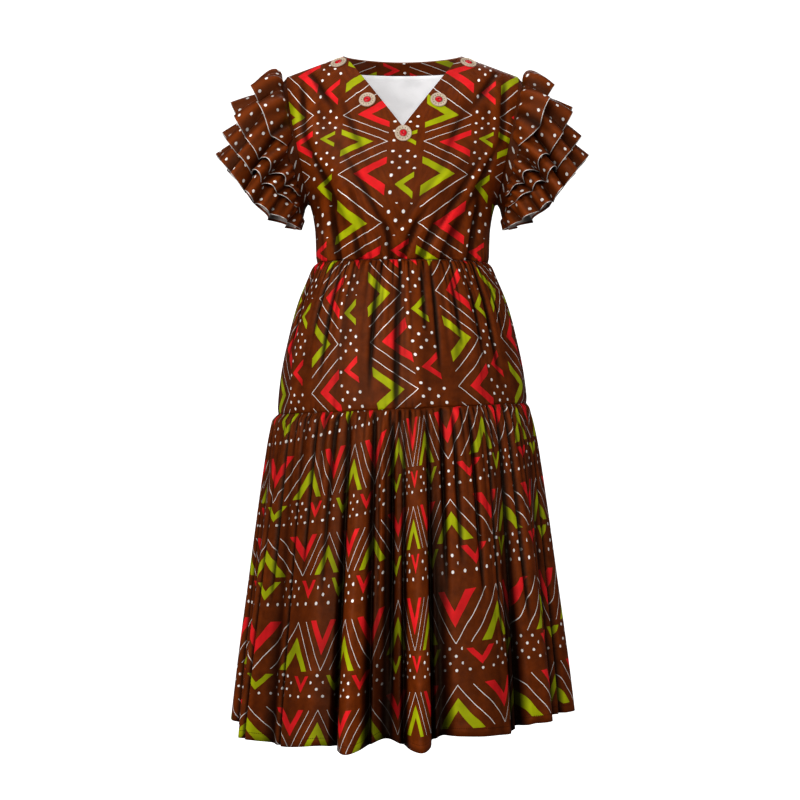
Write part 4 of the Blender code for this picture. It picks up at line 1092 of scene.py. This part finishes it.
def turned(name, radius, profile):
    """A solid turned on a lathe: a disc of a radius at height 0, then one ring for each place."""
    bpy.ops.object.select_all(action="DESELECT")
    bpy.ops.mesh.primitive_circle_add(vertices=48, radius=radius, fill_type="NGON")
    piece = bpy.context.object
    piece.name = piece.data.name = name
    bpy.ops.object.mode_set(mode="EDIT")
    bpy.ops.mesh.select_all(action="SELECT")
    height = 0
    for ring in profile:
        bpy.ops.mesh.extrude_region_move(TRANSFORM_OT_translate={"value": (0, 0, ring.height - height)})
        bpy.ops.transform.resize(value=(ring.radius / radius, ring.radius / radius, 1))
        radius, height = ring
    bpy.ops.mesh.select_all(action="SELECT")
    bpy.ops.mesh.normals_make_consistent(inside=False)
    bpy.ops.object.mode_set(mode="OBJECT")
    bpy.ops.object.shade_smooth_by_angle(angle=radians(40))
    face_map = piece.data.uv_layers.new(name="face")
    for loop in piece.data.loops:
        face_map.data[loop.index].uv = piece.data.vertices[loop.vertex_index].co.xy
    return piece


bone, bone_tree, bone_shader = new_material("button_beige", 0.36)
sums = Sums(bone_tree)
where, sideways, upright = map_of(bone_tree, "face")
from_centre = sums.do("SQRT", sums.squares(sideways, upright))
turn = sums.times(sums.do("ARCTAN2", upright, sideways), PITS / (2 * pi))
beside = sums.times(sums.less(sums.rest(turn, 1), 0.5), 2 * pi * PIT_RING / PITS)
from_pit = sums.do("SQRT", sums.squares(beside, sums.less(from_centre, PIT_RING)))
# The pits and the collar's inner side beside the stone are painted dark: painted shade in these hollows. The
# mottle is the bone's own grain.
pit = sums.times(sums.below(from_pit, PIT_RADIUS), 0.90)
mottle = sums.times(noise(bone_tree, where, 0.0022, 3), 0.75)
collar = sums.times(sums.between(from_centre, COLLAR_INSIDE, COLLAR_OUTSIDE), 0.85)
grain_and_painted_shade = mixed(bone_tree, sums.any_of(pit, mottle, collar), BONE, BONE_DARK)
bone_tree.links.new(grain_and_painted_shade, bone_shader.inputs["Base Color"])
emboss(bone_tree, bone_shader, sums.less(1, sums.any_of(pit, mottle)), distance=0.0004)

stone_red, stone_tree, stone_shader = new_material("stone_red", 0.16)
sums = Sums(stone_tree)
where, sideways, upright = map_of(stone_tree, "face")
in_heart = sums.below(sums.do("SQRT", sums.squares(sideways, upright)), STONE_HEART_RADIUS)
heart = sums.any_of(in_heart, sums.times(noise(stone_tree, where, 0.002), 0.5))
stone_tree.links.new(mixed(stone_tree, heart, STONE_RED, STONE_DEEP), stone_shader.inputs["Base Color"])

button_form = turned("button", BUTTON_FOOT_RADIUS, BUTTON_PROFILE)
stone_form = turned("stone", STONE_FOOT_RADIUS, STONE_PROFILE)
for where in ("shoulder_left", "neck_left", "centre", "neck_right", "shoulder_right"):
    points = np.array([vertex.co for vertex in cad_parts["button_" + where].data.vertices])
    centre = (points.min(axis=0) + points.max(axis=0)) / 2
    outward = np.linalg.svd(points - points.mean(axis=0))[2][2]
    outward = outward * np.sign(np.dot(outward, centre - np.array(BODICE_MIDDLE)))
    level = unit(np.cross((0, 0, 1), outward))
    axes = np.stack([level, np.cross(outward, level), outward], axis=1)
    base = centre + outward * (np.min((points - centre) @ outward) + BUTTON_SEAT)
    for form, kind, rise, material in ((button_form, "button", 0, bone),
                                       (stone_form, "stone", STONE_SEAT, stone_red)):
        seat = Matrix([[*row, at] for row, at in zip(axes, base + outward * rise)] + [[0, 0, 0, 1]])
        mesh = form.data.copy()
        mesh.transform(seat)
        mesh.materials.append(material)
        piece = add_object(kind + "_on_" + where, mesh)
        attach(piece, "root")
        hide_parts(kind + "_" + where)
for form in (button_form, stone_form):
    bpy.data.objects.remove(form)


# Stage: a white floor that curves up into a backdrop, five large soft lights and a pale sky. The
# floor shines by itself, evenly, and throws no light on the dress.
FLOOR_LEVEL, STAGE_REACH = -1.60, 9.0
SWEEP_START, SWEEP_RADIUS = 4.5, 2.0
LIT_POINT = (0, 0, -0.5)
SKY_SEEN, SKY_SOFT, SKY_ALL = 0.94, 0.20, 0.06
Light = namedtuple("Light", "name place size power")
LIGHTS = (
    Light("front_light", (-0.6, -3.5, 0.3), 0.9, 54),
    Light("key_light", (-2.0, -1.9, 0.9), 0.9, 37),
    Light("fill_light", (2.4, -1.9, 0.3), 1.2, 15),
    Light("top_light", (0.0, -0.2, 2.2), 1.2, 12),
    Light("back_light", (0.3, 2.4, 1.2), 1.4, 16),
)

floor_material, _, floor_shader = new_material("pale_floor", 0.9)
floor_shader.inputs["Base Color"].default_value = (0.93, 0.93, 0.93, 1)
floor_shader.inputs["Emission Color"].default_value = PURE_WHITE
floor_shader.inputs["Emission Strength"].default_value = 1
sweep = [(-STAGE_REACH, FLOOR_LEVEL)]
for turn in np.linspace(0, pi / 2, 13):
    sweep.append((SWEEP_START + SWEEP_RADIUS * np.sin(turn), FLOOR_LEVEL + SWEEP_RADIUS * (1 - np.cos(turn))))
sweep.append((SWEEP_START + SWEEP_RADIUS, STAGE_REACH))
floor_mesh = bpy.data.meshes.new("floor")
floor_mesh.from_pydata([(x, y, z) for y, z in sweep for x in (-STAGE_REACH, STAGE_REACH)], [],
                       [(2 * i, 2 * i + 1, 2 * i + 3, 2 * i + 2) for i in range(len(sweep) - 1)])
floor_mesh.materials.append(floor_material)
floor_mesh.shade_smooth()
floor = add_object("floor", floor_mesh)
floor.visible_glossy = floor.visible_diffuse = False

for light in LIGHTS:
    bpy.ops.object.light_add(type="AREA", location=light.place)
    lamp = bpy.context.object
    lamp.name = light.name
    lamp.data.size = light.size
    lamp.data.energy = light.power
    lamp.rotation_euler = (Vector(light.place) - Vector(LIT_POINT)).to_track_quat("Z", "Y").to_euler()
world = bpy.data.worlds.new("pale_sky")
world.use_nodes = True
sky = world.node_tree.nodes["Background"]
sky.inputs["Color"].default_value = PURE_WHITE
rays = world.node_tree.nodes.new("ShaderNodeLightPath").outputs
sums = Sums(world.node_tree)
seen, soft = sums.times(rays["Is Camera Ray"], SKY_SEEN), sums.times(rays["Is Diffuse Ray"], SKY_SOFT)
world.node_tree.links.new(sums.add(sums.add(seen, soft), SKY_ALL), sky.inputs["Strength"])
bpy.context.scene.world = world
bpy.context.scene.view_settings.view_transform = "Standard"
